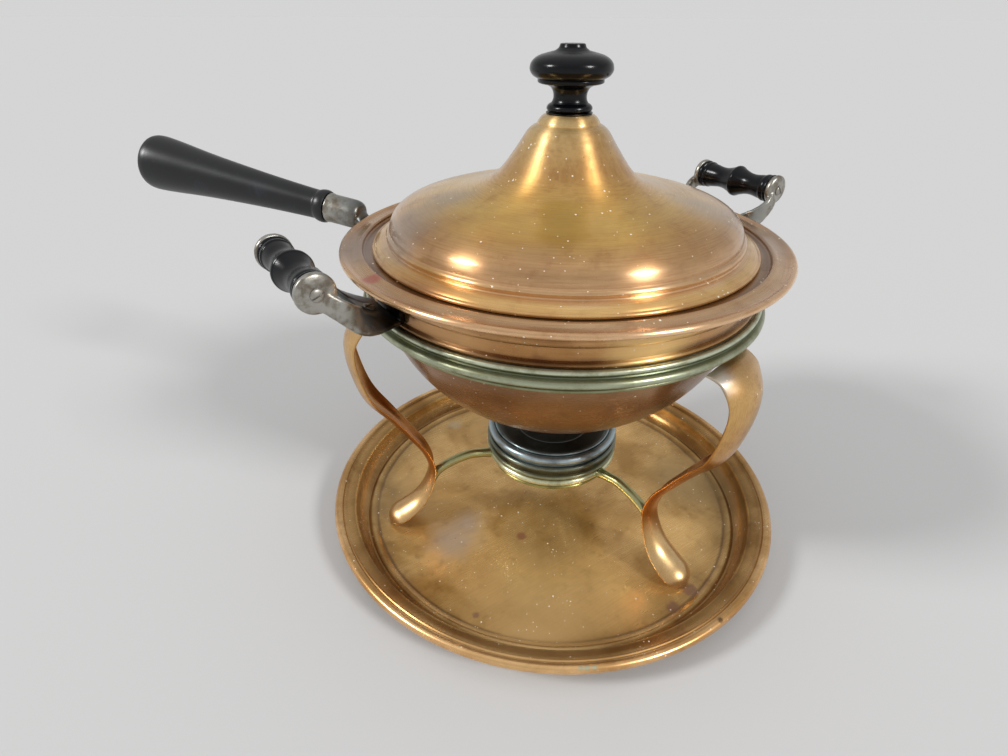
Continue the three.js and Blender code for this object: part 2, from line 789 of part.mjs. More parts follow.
// A turned piece on the grip's axis, with its own Z along +Y or -Y
function alongGrip(geometry, side) {
  return geometry.rotateX((-side * Math.PI) / 2).translate(gripReach, 0, gripHeight);
}

const discInner = gripLength / 2 + gap;
const discOuter = discInner + discThickness;
function armDisc(side) {
  const outline = [
    at(0, discInner),
    at(discRadius - 0.4, discInner),
    at(discRadius, discInner + 0.6),
    at(discRadius, discOuter - discDome * 1.2),
    at(discRadius * 0.86, discOuter - discDome * 0.45),
    at(discRadius * 0.5, discOuter),
    at(0, discOuter),
  ];
  return alongGrip(turned(outline, smallFacets), side);
}

function gripBore(side) {
  return alongGrip(disc(gripScrewRadius + screwHole, discInner - 2, discOuter + 2, screwFacets), side);
}

// Web screw: it stands square to the web, through the web and the lug's tongue
const webSlope = Math.atan2(webUnder(webScrewReach + 1) - webUnder(webScrewReach - 1), 2);
function onWeb(geometry) {
  return geometry.rotateY(-webSlope).translate(webScrewReach, 0, webUnder(webScrewReach));
}
const webScrewTip = -gap - lugThickness - 1.6;
const webHole = () => onWeb(disc(webScrewRadius + screwHole, -8, 8, screwFacets));
const webScrewGeometry = onWeb(screw(webScrewRadius, webScrewHead, webScrewTip, webThickness + gap));

const web = bar(
  [
    webStation(webRootReach, webRootHalf),
    webStation((webRootReach + webForkReach) / 2 - 2, webRootHalf + 2),
    webStation((webRootReach + webForkReach) / 2 + 3, webRootHalf + 1),
    webStation(webForkReach, webRootHalf - 2),
  ],
  webThickness,
);
const lugOuter = waterSkin + lugThickness;
const lugReach = disc((lugOuter + gap) / insideFacets(largeFacets), ringTop, gripHeight, largeFacets);
const bracketGeometry = combine(
  [web, arm(1), arm(-1), armDisc(1), armDisc(-1)],
  [gripBore(1), gripBore(-1), webHole(), lugReach],
);

function tongueStation(reach) {
  const middle = new THREE.Vector3(reach, 0, webUnder(reach) - gap - lugThickness / 2);
  return { middle, half: lugTongueHalf, twist: 0 };
}
const tongue = bar(
  [waterSeatRadius + gap, (waterSeatRadius + lugTongueReach) / 2, lugTongueReach].map(tongueStation),
  lugThickness,
);
const underCasting = [web.clone(), arm(1), arm(-1)].map((part) => part.translate(0, 0, -gap));
const lugPad = sector(waterSkin + 0.1, lugOuter, waterSeatTop, waterSeatTop + lugHeight, lugAngle);
const lugGeometry = combine(
  [lugPad, combine([tongue], underCasting)],
  [disc(waterSkin, ringBottom, gripHeight, largeFacets), webHole()],
);

// Grip: end beads, coves and a middle bead, bored at both ends for the screws
const gripScrewDepth = gripScrewLength - discThickness;
function gripGeometry() {
  const half = gripLength / 2;
  const bore = gripScrewRadius + screwHole;
  const depth = half - gripScrewDepth - gap;
  const profile = [
    at(0, -depth),
    at(bore, -depth),
    at(bore, -half),
    at(gripEnd - 0.5, -half),
    at(gripEnd, -half + 1.2),
    at(gripEnd - 0.3, -half + 2.6),
    at(gripEnd - 1, -half + 3.2),
    at(gripEnd - 0.6, -half + 5),
    at(gripCove + 0.7, -half + 10),
    at(gripCove, -half + 16),
    at(gripCove + 0.9, -half + 21.5),
    at(gripBead - 0.6, -2.6),
    at(gripBead, -1.2),
  ];
  const mirrored = profile.map((point) => at(point.x, -point.y)).reverse();
  return alongGrip(turned([...profile, ...mirrored], smallFacets), 1);
}

for (const [side, angle] of [["right", 0], ["left", 180]]) {
  const group = turnedGroup(angle);
  piece(`bracket_lug_${side}`, lugGeometry, brass, group);
  piece(`bracket_${side}`, bracketGeometry, nickel, group);
  piece(`bracket_screw_${side}`, webScrewGeometry, steel, group);
  piece(`side_grip_${side}`, gripGeometry(), blackWood, group);
  for (const [end, way] of [["a", 1], ["b", -1]]) {
    const geometry = screw(gripScrewRadius, gripScrewHead, discOuter - gripScrewLength, discOuter + gap);
    piece(`grip_screw_${side}_${end}`, alongGrip(geometry, way), steel, group);
  }
}

// Long handle: turned pieces have their Z along the handle, from the start of the wood outward
const handleGroup = turnedGroup(handleAngle);
const handleTilt = radians(90 - handleSlope);
const handleHeight = lidSeat + handleRise;
const alongHandle = (geometry) => geometry.rotateY(handleTilt).translate(handleReach, 0, handleHeight);
const tangBore = tangRadius + gap;
const tangStart = -socketLength + 3;

piece(
  "long_handle",
  alongHandle(
    turned(
      [
        at(0, tangStart + tangLength + gap),
        at(tangBore, tangStart + tangLength + gap),
        at(tangBore, -spigotLength),
        at(spigotRadius, -spigotLength),
        at(spigotRadius, gap),
        at(handleNeck - 0.4, gap),
        at(handleNeck + 0.5, 1.4),
        at(handleNeck + 0.4, 3.2),
        at(handleNeck - 0.3, 4.4),
        ...spline(
          [
            at(handleNeck, 7),
            at(handleNeck * 1.2, handleLength * 0.32),
            at(handleEnd * 0.78, handleLength * 0.62),
            at(handleEnd * 0.97, handleLength * 0.88),
            at(handleEnd, handleLength * 0.945),
          ],
          8,
        ),
        at(handleEnd * 0.94, handleLength * 0.978),
        at(handleEnd * 0.66, handleLength * 0.995),
        at(0, handleLength),
      ],
      smallFacets,
    ),
  ),
  blackWood,
  handleGroup,
);
const tangEnd = tangStart + tangLength;
const tangGeometry = alongHandle(disc(tangRadius, tangStart + gap, tangEnd, screwFacets));
piece("handle_tang", tangGeometry, steel, handleGroup);

// Socket: a ferrule that narrows to a tongue, which dips under the pan's rim to a pad
// soldered under the flange
const ferrule = alongHandle(
  turned(
    [
      at(0, -socketLength),
      at(socketRadius * 0.72, -socketLength),
      at(socketRadius * 0.95, -socketLength + 3.4),
      at(socketRadius, -socketLength + 6),
      at(socketRadius, -1.8),
      at(socketRadius + 0.5, -1.2),
      at(socketRadius + 0.5, 0),
      at(spigotRadius + gap, 0),
      at(spigotRadius + gap, -spigotLength - gap),
      at(tangBore, -spigotLength - gap),
      at(tangBore, tangStart),
      at(0, tangStart),
    ],
    smallFacets,
  ),
);
const rimUnder = foodRim.y - foodRimBead;
const tongueMiddle = rimUnder - gap - tongueThickness / 2;
const socketFront = handleReach - Math.cos(radians(handleSlope)) * (socketLength - 2);
const socketFrontHeight = handleHeight - Math.sin(radians(handleSlope)) * (socketLength - 2);
const flangeUnder = flangeMiddle.y - gap;
const saddleOuter = (foodRim.x - foodRimBead) * insideFacets(largeFacets) - gap;
const saddleInner = saddleOuter - saddleWidth;

// Oval ring across the way out from the pan, tilted by its lean in degrees
function ovalRing(reach, height, half, thickness, lean) {
  return arc(0, 0, 1, 0, 360, 12).slice(0, 12).map((point) => {
    const rise = (point.y * thickness) / 2;
    const tilt = radians(lean);
    return new THREE.Vector3(reach - rise * Math.sin(tilt), point.x * half, height + rise * Math.cos(tilt));
  });
}
const shank = loft([
  ovalRing(saddleInner, tongueMiddle, tongueHalf + 2, tongueThickness, 0),
  ovalRing(saddleOuter, tongueMiddle, tongueHalf + 1, tongueThickness, 0),
  ovalRing(foodRimRadius + 1, tongueMiddle, tongueHalf, tongueThickness, 12),
  ovalRing(foodRimRadius + 4.6, tongueMiddle + 2.6, tongueHalf, tongueThickness * 2, 34),
  ovalRing(foodRimRadius + 8, (tongueMiddle + socketFrontHeight) / 2 + 1.6, tongueHalf, socketRadius, 30),
  ovalRing(socketFront, socketFrontHeight, socketRadius * 0.72, socketRadius * 1.44, handleSlope),
]);
const saddle = sector(saddleInner, saddleOuter, tongueMiddle, flangeUnder, saddleAngle);
piece("handle_socket", combine([ferrule, shank, saddle]), nickel, handleGroup);

export default model;
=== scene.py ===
import json
import math

import bmesh
import bpy
from mathutils import Matrix, Quaternion, Vector


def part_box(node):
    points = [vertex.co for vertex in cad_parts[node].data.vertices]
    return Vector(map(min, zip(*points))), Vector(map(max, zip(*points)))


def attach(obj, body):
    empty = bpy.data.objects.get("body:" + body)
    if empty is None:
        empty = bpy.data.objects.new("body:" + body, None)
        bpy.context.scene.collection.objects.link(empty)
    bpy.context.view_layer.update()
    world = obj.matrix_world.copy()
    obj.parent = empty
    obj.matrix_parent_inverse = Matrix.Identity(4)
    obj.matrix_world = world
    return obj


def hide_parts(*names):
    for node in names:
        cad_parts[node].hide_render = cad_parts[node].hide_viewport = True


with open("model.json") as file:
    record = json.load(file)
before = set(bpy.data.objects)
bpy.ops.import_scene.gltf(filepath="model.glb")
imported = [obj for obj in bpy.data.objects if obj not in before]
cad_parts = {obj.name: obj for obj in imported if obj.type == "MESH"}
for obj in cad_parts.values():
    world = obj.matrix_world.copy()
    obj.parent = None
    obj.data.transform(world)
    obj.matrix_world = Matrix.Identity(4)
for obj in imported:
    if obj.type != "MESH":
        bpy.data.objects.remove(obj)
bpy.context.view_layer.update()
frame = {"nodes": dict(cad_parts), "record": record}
print("frame loaded:", len(frame["nodes"]), "nodes")

mm = 0.001
handleAngle = 128.3  # where the long handle points, from +X
bodyOf = {node: body for body, nodes in frame["record"]["behaviour"]["bodies"].items() for node in nodes}


def baseOf(node):
    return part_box(node)[0].z / mm


def topOf(node):
    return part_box(node)[1].z / mm


# Outlines, all in millimetres

def curve(points, steps=6):
    # smooth line through the points, drawn with its own ends as guides
    drawn = []
    padded = [points[0], *points, points[-1]]
    for p0, p1, p2, p3 in zip(padded, padded[1:], padded[2:], padded[3:]):
        for i in range(steps):
            t = i / steps
            weights = (
                -0.5 * t + t * t - 0.5 * t**3,
                1 - 2.5 * t * t + 1.5 * t**3,
                0.5 * t + 2 * t * t - 1.5 * t**3,
                -0.5 * t * t + 0.5 * t**3,
            )
            drawn.append(tuple(sum(w * p[k] for w, p in zip(weights, (p0, p1, p2, p3))) for k in range(len(p1))))
    return drawn + [tuple(points[-1])]


def arc(radius, height, size, start, end, steps):
    angles = [math.radians(start + (end - start) * i / steps) for i in range(steps + 1)]
    return [(radius + size * math.cos(a), height + size * math.sin(a)) for a in angles]


def traced(entries, level=0):
    # outline above a level, through points (radius, height) and arcs (radius, height, size, start, end, steps)
    outline = []
    for radius, height, *bend in entries:
        outline += arc(radius, level + height, *bend) if bend else [(radius, level + height)]
    return outline


def curved(piece, parts, level, steps):
    # outline above a level, through the named parts of a piece, each of them smooth
    return [point for part in parts for point in traced(curve(piece[part], steps), level)]


def bowl(mouth, mouthHeight, depth, fullness, flat, steps=40):
    # superellipse wall from the flat bottom to the mouth
    start = math.asin((flat / mouth) ** (fullness / 2))
    wall = []
    for i in range(steps + 1):
        radius = mouth * math.sin(start + (math.pi / 2 - start) * i / steps) ** (2 / fullness)
        wall.append((radius, mouthHeight - depth * max(0, 1 - (radius / mouth) ** fullness) ** (1 / fullness)))
    return wall


# Meshes

def placed(name, data):
    piece = bpy.data.objects.new(name, data)
    bpy.context.scene.collection.objects.link(piece)
    return piece


def meshPiece(name, form, sharp=35):
    # edges turned by more than the sharp angle stay sharp
    for vert in form.verts:
        vert.co *= mm
    mesh = bpy.data.meshes.new(name)
    form.to_mesh(mesh)
    form.free()
    mesh.shade_smooth()
    mesh.set_sharp_from_angle(angle=math.radians(sharp))
    return placed(name, mesh)


def spunForm(outline, steps, closed=False):
    form = bmesh.new()
    verts = [form.verts.new((radius, 0, height)) for radius, height in outline]
    pairs = list(zip(verts, verts[1:])) + ([(verts[-1], verts[0])] if closed else [])
    edges = [form.edges.new(pair) for pair in pairs]
    bmesh.ops.spin(
        form, geom=verts + edges, cent=(0, 0, 0), axis=(0, 0, 1), angle=2 * math.pi, steps=steps, use_merge=True
    )
    bmesh.ops.remove_doubles(form, verts=form.verts, dist=1e-4)
    bmesh.ops.dissolve_degenerate(form, edges=form.edges, dist=1e-5)
    bmesh.ops.recalc_face_normals(form, faces=form.faces)
    return form


def spunSheet(name, outline, gauge, steps=192):
    # the outline is the upper or outer face, drawn outward; the sheet's thickness lies below it
    form = spunForm(outline, steps)
    middle = min(form.faces, key=lambda face: face.calc_center_median().xy.length)
    if middle.normal.z < 0:
        bmesh.ops.reverse_faces(form, faces=form.faces)
    piece = meshPiece(name, form)
    wall = piece.modifiers.new("gauge", "SOLIDIFY")
    wall.thickness = gauge * mm
    wall.offset = -1
    wall.use_even_offset = True
    return piece


def spunSolid(name, outline, steps, place=None, sharp=30, closed=False):
    form = spunForm(outline, steps, closed)
    return meshPiece(name, moved(form, place) if place else form, sharp)


def gridForm(columns, rows, place):
    # a grid put on a surface by place(across 0..1, along 0..1), with its seam and ends shut
    form = bmesh.new()
    bmesh.ops.create_grid(form, x_segments=columns, y_segments=rows, size=0.5)
    for vert in form.verts:
        vert.co = Vector(place(vert.co.x + 0.5, vert.co.y + 0.5))
    bmesh.ops.remove_doubles(form, verts=form.verts, dist=1e-4)
    bmesh.ops.holes_fill(form, edges=[edge for edge in form.edges if edge.is_boundary])
    bmesh.ops.recalc_face_normals(form, faces=form.faces)
    return form


def moved(form, place):
    bmesh.ops.transform(form, matrix=place, verts=form.verts)
    return form


def joined(forms):
    whole = bmesh.new()
    for form in forms:
        step = bpy.data.meshes.new("step")
        form.to_mesh(step)
        form.free()
        whole.from_mesh(step)
        bpy.data.meshes.remove(step)
    return whole


def castPiece(name, form, voxel, passes):
    # overlapping forms melted into one casting with soft corners
    piece = meshPiece(name, form, 60)
    cast = piece.modifiers.new("cast", "REMESH")
    cast.mode = "VOXEL"
    cast.voxel_size = voxel * mm
    cast.use_smooth_shade = True
    soft = piece.modifiers.new("soft", "SMOOTH")
    soft.factor = 0.5
    soft.iterations = passes
    return piece


def turn(degrees):
    return Matrix.Rotation(math.radians(degrees), 4, "Z")


def standFor(piece, node, finish):
    # the piece is shown in place of the CAD node and moves with the node's body
    piece.data.materials.append(finish)
    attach(piece, bodyOf[node])
    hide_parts(node)


def refinish(node, finish):
    # the CAD node stays in sight with a better material
    slots = frame["nodes"][node].data.materials
    slots.clear()
    slots.append(finish)


# Finishes

def paint(hexCode):
    # colour as written on a screen, turned into the linear values that the shader takes
    channels = [int(hexCode[i:i + 2], 16) / 255 for i in (1, 3, 5)]
    linear = [c / 12.92 if c <= 0.04045 else ((c + 0.055) / 1.055) ** 2.4 for c in channels]
    return (*linear, 1)


def grey(value):
    return (value, value, value, 1)


def setStops(ramp, stops):
    while len(ramp.elements) < len(stops):
        ramp.elements.new(0.5)
    for element, (position, colour) in zip(ramp.elements, stops):
        element.position = position
        element.color = colour


class Signal:
    # a socket that can be written in sums
    def __init__(self, finish, socket):
        self.finish = finish
        self.socket = socket

    def math(self, operation, *others):
        values = {i: value for i, value in enumerate((self, *others))}
        return self.finish.add("Math", {"operation": operation}, values)

    def __add__(self, other):
        return self.math("ADD", other)

    def __sub__(self, other):
        return self.math("SUBTRACT", other)

    def __mul__(self, other):
        return self.math("MULTIPLY", other)

    def __truediv__(self, other):
        return self.math("DIVIDE", other)

    def __rsub__(self, other):
        return self.finish.add("Math", {"operation": "SUBTRACT"}, {0: other, 1: self})

    __radd__ = __add__

    def within(self, low, high):
        # 0 below low, 1 above high, eased between them
        settings = {"interpolation_type": "SMOOTHSTEP"}
        return self.finish.add("MapRange", settings, {"Value": self, "From Min": low, "From Max": high})


class Finish:
    def __init__(self, name, metallic=1):
        self.material = bpy.data.materials.new(name)
        self.material.use_nodes = True
        self.tree = self.material.node_tree
        self.tree.nodes.clear()
        self.shader = self.tree.nodes.new("ShaderNodeBsdfPrincipled")
        self.shader.inputs["Metallic"].default_value = metallic
        output = self.tree.nodes.new("ShaderNodeOutputMaterial")
        self.tree.links.new(self.shader.outputs[0], output.inputs[0])
        metres = self.add("TexCoord", output="Object")
        self.place = self.add("Mapping", {}, {"Vector": metres, "Scale": (1 / mm,) * 3})
        parts = self.add("SeparateXYZ", {}, {0: self.place}).socket.node.outputs
        self.x, self.y, self.z = (Signal(self, socket) for socket in parts)

    def add(self, kind, settings=None, values=None, output=0):
        node = self.tree.nodes.new("ShaderNode" + kind)
        for key, value in (settings or {}).items():
            if key == "stops":
                setStops(node.color_ramp, value)
            else:
                setattr(node, key, value)
        for key, value in (values or {}).items():
            self.feed(node.inputs[key], value)
        return Signal(self, node.outputs[output])

    def feed(self, socket, value):
        if isinstance(value, Signal):
            self.tree.links.new(value.socket, socket)
        else:
            socket.default_value = paint(value) if isinstance(value, str) else value

    def vector(self, x, y, z):
        return self.add("CombineXYZ", {}, {0: x, 1: y, 2: z})

    def noise(self, scale, place=None, detail=3, roughness=0.55, distortion=0):
        values = {
            "Vector": place or self.place, "Scale": scale, "Detail": detail, "Roughness": roughness,
            "Distortion": distortion,
        }
        return self.add("TexNoise", {"noise_dimensions": "3D"}, values)

    def stretched(self, tilt, scale):
        return self.add("Mapping", {}, {"Vector": self.place, "Rotation": tilt, "Scale": scale})

    def mix(self, share, first, second, blend="MIX"):
        node = self.add("Mix", {"data_type": "RGBA", "blend_type": blend, "clamp_factor": True}).socket.node
        for index, value in ((0, share), (6, first), (7, second)):
            self.feed(node.inputs[index], value)
        return Signal(self, node.outputs[2])

    def radius(self):
        return (self.x * self.x + self.y * self.y).math("SQRT")

    def spot(self, centre, size):
        # soft patch round a point, with an uneven edge: a wide one fades all the way from its middle
        core = 0.35 if size < 12 else 0.1
        offset = self.add("VectorMath", {"operation": "DISTANCE"}, {0: self.place, 1: centre}, "Value")
        uneven = offset + (self.noise(1.6 / size, detail=4) - 0.5) * (size * 0.7)
        return 1 - uneven.within(size * core, size)

    def specks(self, cell, size, share):
        # scattered round dots: one in each cell, of which only a share is kept
        values = {"Vector": self.place, "Scale": 1 / cell, "Randomness": 1}
        node = self.add("TexVoronoi", {"feature": "F1"}, values).socket.node
        kept = self.add("SeparateColor", {}, {0: Signal(self, node.outputs["Color"])})
        near = 1 - Signal(self, node.outputs["Distance"]).within(size / cell * 0.7, size / cell)
        return near * kept.math("GREATER_THAN", 1 - share)

    def scratches(self, length, width, tilt, share):
        # thin broken lines: noise drawn out along one direction
        line = self.noise(1, self.stretched(tilt, (1 / length, 1 / width, 1 / width)), detail=1)
        broken = self.noise(0.03, detail=2).within(0.5, 0.62)
        return line.within(1 - share, 1 - share * 0.75) * broken

    def bump(self, height, depth, after=None):
        values = {"Height": height, "Distance": depth * mm, "Strength": 1}
        if after:
            values["Normal"] = after
        return self.add("Bump", {}, values)

    def brushed(self, share):
        # turned on a lathe: highlights are drawn out across the turning lines
        self.shader.inputs["Anisotropic"].default_value = share
        self.shader.inputs["Anisotropic Rotation"].default_value = 0.25

    def put(self, **signals):
        for key, value in signals.items():
            self.feed(self.shader.inputs["Base Color" if key == "colour" else key.capitalize()], value)
        return self.material


def toned(made, way, tones, waver, cloud, level=0):
    # colour that changes along a way, such as the radius or the height above a level, through the given tones
    low, high = tones[0][0], tones[-1][0]
    if waver:
        way = way + (cloud - 0.5) * waver
    stops = [((place - low) / (high - low), paint(tone)) for place, tone in tones]
    return made.add("ValToRGB", {"stops": stops}, {0: (way - (level + low)) / (high - low)})


def copperFinish(title, look):
    # lacquered sheet: tones along a way, clouds of tarnish, brush lines, stains, scratches and dust, and spots of
    # colour, of which some are real marks and some are painted light, shade and reflections
    made = Finish(title)
    made.brushed(look["brushed"])
    made.shader.inputs["Coat Weight"].default_value = look["lacquer"]
    made.shader.inputs["Coat Roughness"].default_value = 0.16
    radius = made.radius()
    clouds = made.noise(look["cloudScale"], detail=5, distortion=0.6)
    stains = made.noise(look["cloudScale"] * 4.3, detail=6, roughness=0.62)
    way = made.z if look["along"] == "height" else radius
    colour = toned(made, way, look["tones"], look["waver"], clouds)
    if look["lines"] == "round":
        safe = radius.math("MAXIMUM", 1)
        drawn = made.vector(radius * 2.6 + made.z * 2, made.x / safe * 4, made.y / safe * 4)
    else:
        drawn = made.stretched(look["tilt"], look["draw"])
    lines = made.noise(1, drawn, roughness=0.7)
    layers = (("cloud", clouds, 0.35, 0.7), ("stain", stains, 0.5, 0.78), ("line", lines, 0.35, 0.75))
    for name, marks, low, high in layers:
        colour = made.mix(marks.within(low, high) * look[name + "Share"], colour, look[name], "MULTIPLY")
    rough = look["roughness"] + (1 - radius.within(24, 62)) * look["neckRough"]
    roughness = rough + clouds * 0.06 + (lines - 0.5) * look["lineRough"] + stains.within(0.5, 0.8) * 0.1
    # spots are real marks or painted light and shade, as each look notes
    for centre, size, shade, share in look["spots"]:
        spot = made.spot(centre, size) * share
        colour = made.mix(spot, colour, shade)
        roughness = roughness + spot * 0.12
    pits = made.specks(8, 0.4, 0.3)
    colour = made.mix(pits * 0.6, colour, look["pit"])
    scratches = made.scratches(60, 0.35, (0.2, 0.1, 0.6), 0.27) + made.scratches(45, 0.3, (0.1, 0.3, -0.9), 0.26)
    colour = made.mix(scratches * 0.25, colour, look["scratch"])
    cell, share = look["dustCell"], look["dustShare"]
    dust = (made.specks(cell, 0.62, share) + made.specks(cell * 0.55, 0.36, share * 1.3)).math("MINIMUM", 1)
    colour = made.mix(dust * 0.9, colour, look["dust"])
    roughness = roughness + dust * 0.3
    dents = made.bump(made.noise(0.035, detail=1), look["dent"])
    fine = made.noise(6, detail=2)
    grooves = made.bump(lines * look["lineDepth"] + fine * 0.15 + scratches * -0.8 - pits + dust, 0.02, dents)
    metal = look["metal"] + radius.within(*look["metalFrom"]) * look["metalMore"] - dust * 0.8
    return made.put(colour=colour, roughness=roughness, metallic=metal, normal=grooves)


copperLook = {  # tones by the place on the way; a spot has its middle, size, colour and share
    "along": "radius", "waver": 14, "cloudScale": 0.016, "cloud": "#d9c6ab", "cloudShare": 0.8, "lines": "round",
    "stain": "#c9b09c", "stainShare": 0.6, "line": "#cdbba4", "lineShare": 0.5, "roughness": 0.24, "lineRough": 0.1,
    "lineDepth": 0.3, "metal": 0.86, "pit": "#5b4129", "scratch": "#f2dcb4", "dustCell": 6, "dustShare": 0.2,
    "dust": "#efe6d2", "dent": 0.3, "brushed": 0.75, "lacquer": 0.3, "metalFrom": (0, 1), "metalMore": 0,
    "neckRough": 0,
}
lidFinish = copperFinish("lid_copper", {
    **copperLook, "dustShare": 0.36, "metal": 0.84, "roughness": 0.26, "neckRough": 0.16, "lacquer": 0.6,
    "brushed": 0.85,
    "tones": [
        # the lighter tones on the bead and skirt, from 101 to 108, are a painted highlight
        (0, "#edcf94"), (20, "#e8c688"), (32, "#dcae6c"), (46, "#eabc62"), (66, "#f0c45a"), (82, "#ecbe66"),
        (92, "#d8ac74"), (98, "#d8ae80"), (101, "#f0c898"), (104, "#f4ca84"), (108, "#ecbc78"), (110, "#d8a874"),
    ],
    "spots": [
        # the greyish patches on the left and right of the dome are a painted cool reflection of the surroundings
        ((-92, 14, 214), 30, "#b5a89c", 0.6), ((47.4, -66, 219), 30, "#b8a590", 0.6),
        ((-62, 22, 225), 24, "#9c8f80", 0.55), ((42, -50, 225), 18, "#b09c86", 0.4),
        ((20, -16, 252), 18, "#c2b0a4", 0.55), ((-16, 20, 252), 15, "#b7a08c", 0.4),
        # the wide pale gold patch at (-37, -46) is painted light, laid over the knob's dark reflection in the dome
        ((-66, -62, 216), 16, "#c2976c", 0.4), ((-37, -46, 226.1), 30, "#f0cc80", 0.5),
    ],
})
flangeFinish = copperFinish("pan_copper", {
    **copperLook, "waver": 3,
    "tones": [
        # the dark band at the step (113) is painted shade under the lid's edge; the palest tones on the rolled rim
        # are a painted highlight
        (60, "#b9aa92"), (108, "#a98757"), (113, "#8a6038"), (116, "#d8b084"), (120, "#dcb890"), (124, "#deb48c"),
        (126.4, "#f2c89c"), (128, "#ffdab0"),
    ],
    "spots": [
        # the two wide mauve-grey patches at the left and right are a painted cool reflection; the small red one is a
        # smudge
        ((-119.3, -0.5, 199.6), 7, "#c4625a", 0.75), ((-108, 50, 199.6), 44, "#a08a7c", 0.75),
        ((96, -72, 199.6), 44, "#ae9888", 0.6),
    ],
})
bowlFinish = copperFinish("bowl_copper", {
    **copperLook, "along": "height", "waver": 8,
    "tones": [
        # the tones go dark at the top, under the flange: painted shadow of the flange
        (88, "#96683e"), (120, "#a2764c"), (150, "#aa8258"), (172, "#8e6a48"), (176, "#b88a50"), (178.6, "#7c5836"),
        (181, "#c4945c"), (189.5, "#cc9c64"), (193, "#8a6038"), (195.4, "#5e4026"), (197, "#4a321e"),
    ],
    # the two warm bright patches on the wall are painted lamp highlights
    "spots": [((-34, -113, 186), 34, "#ffd890", 0.6), ((-108, -48, 186), 34, "#f0c088", 0.4)],
})
trayFinish = copperFinish("tray_copper", {
    **copperLook, "lines": "straight", "tilt": (0, 0, 0.55), "draw": (0.03, 1.3, 1.3), "cloudScale": 0.02, "waver": 2,
    "cloud": "#bba878", "stain": "#ac9c72", "stainShare": 0.5, "lineShare": 0.3, "roughness": 0.25, "dustShare": 0.34,
    "metal": 0.55, "brushed": 0, "metalFrom": (124, 131), "metalMore": 0.33,
    "tones": [
        # the light bands on the floor's bead, the cove's top and the rolled rim and the dark bands in the groove and
        # hollows beside them are painted highlights and shade
        (0, "#e6bc78"), (100, "#eabf7a"), (125.4, "#d6b070"), (126.8, "#8a6c46"), (128, "#c8a064"), (130, "#e6c080"),
        (132, "#ac844c"), (138, "#c09456"), (140.4, "#e0b874"), (141.6, "#ac844c"), (146, "#cca266"),
        (148.6, "#c0965c"), (151, "#f6cc92"), (155, "#f0be84"),
    ],
    "spots": [
        ((-84, -2, 1), 26, "#bba99a", 0.65), ((-66, 8, 1), 16, "#b3a69c", 0.45),
        # the two small warm patches are painted reflections of light off the legs
        ((-103.4, -7.7, 1), 9, "#f0c078", 0.45), ((-16.2, -106.2, 1), 11, "#f2bc70", 0.5),
        # the wide patches from here to the one at (-96, 56) are painted light at the front and painted shade at the
        # back, the left and the right
        ((-64, -84, 1), 62, "#f6d08e", 0.6), ((40, 76, 1), 70, "#a88c5c", 0.55), ((96, -50, 1), 44, "#ac9060", 0.7),
        ((104, -87, 6), 40, "#80602e", 0.45), ((-92, -104, 6), 50, "#f0c88c", 0.45),
        ((-96, 56, 1), 40, "#a88c60", 0.5), ((-42.7, -24.7, 1), 5, "#a86a50", 0.75),
        ((19.6, -121.1, 1), 7, "#8e6850", 0.8), ((1.1, -123.9, 1), 6, "#8e6850", 0.8),
        ((-102.2, -61.7, 1), 3, "#9c7660", 0.8), ((-15.3, 114.6, 1), 8, "#c9c0a8", 0.4),
        ((-80.2, -131.4, 18.7), 2.2, "#8fb0a0", 0.6), ((-77.2, -133.2, 18.7), 2.5, "#8fb0a0", 0.6),
        ((-73.9, -135.1, 18.7), 2.3, "#8fb0a0", 0.6), ((4.4, -153.2, 19), 2.6, "#4a3420", 0.8),
    ],
})
legFinish = copperFinish("leg_copper", {
    **copperLook, "along": "height", "waver": 10, "lines": "drawn", "tilt": (0, 0, 0), "draw": (1.6, 1.6, 0.12),
    "roughness": 0.27, "dustShare": 0.1, "metal": 0.88, "brushed": 0,
    "tones": [
        (0, "#ecca96"), (28, "#eac88e"), (46, "#d8984e"), (62, "#c8823e"), (92, "#c88c48"), (120, "#dcac62"),
        (150, "#deb474"), (168, "#c8a270"),
    ],
    "spots": [
        ((22.5, -104.2, 7), 6, "#c9c6c0", 0.8), ((4, -117, 160), 13, "#c9cbc6", 0.75),
        ((-114, 8, 161), 8, "#c9cbc6", 0.6),
    ],
})
print("copper finishes ready")


def plainMetal(name, look):
    # worn plated or cast metal: tones along a way, brown wear, fine grain, pits and turning lines
    made = Finish(name)
    made.brushed(0.5 if look["turned"] else 0)
    radius = made.radius()
    wear = made.noise(look["wearScale"], detail=6, roughness=0.65, distortion=0.3)
    grain = made.noise(2.2, detail=4)
    way = made.z if look["along"] == "height" else radius
    colour = toned(made, way, look["tones"], look["waver"], wear, look["level"])
    colour = made.mix(wear.within(0.42, 0.66) * look["wornShare"], colour, look["worn"])
    colour = made.mix(grain.within(0.5, 0.8) * 0.4, colour, look["grain"], "MULTIPLY")
    roughness = look["roughness"] + wear * 0.14 + grain * 0.06
    height = grain * look["grainDepth"]
    if look["turned"]:
        ridges = made.noise(1, made.vector(radius * 4 + made.z * 4, 0, 0), detail=2)
        colour = made.mix(ridges.within(0.45, 0.8) * 0.45, colour, look["grain"], "MULTIPLY")
        height = height + ridges * 0.5
        roughness = roughness + ridges * 0.08
    scratches = made.scratches(30, 0.3, (0.4, 0.2, 1.1), 0.3) + made.scratches(22, 0.25, (0.1, 0.7, -0.4), 0.29)
    colour = made.mix(scratches * 0.4, colour, look["scratch"])
    normal = made.bump(height - scratches * 0.6 - made.specks(4, 0.4, 0.4), 0.03)
    return made.put(colour=colour, roughness=roughness, metallic=look["metal"], normal=normal)


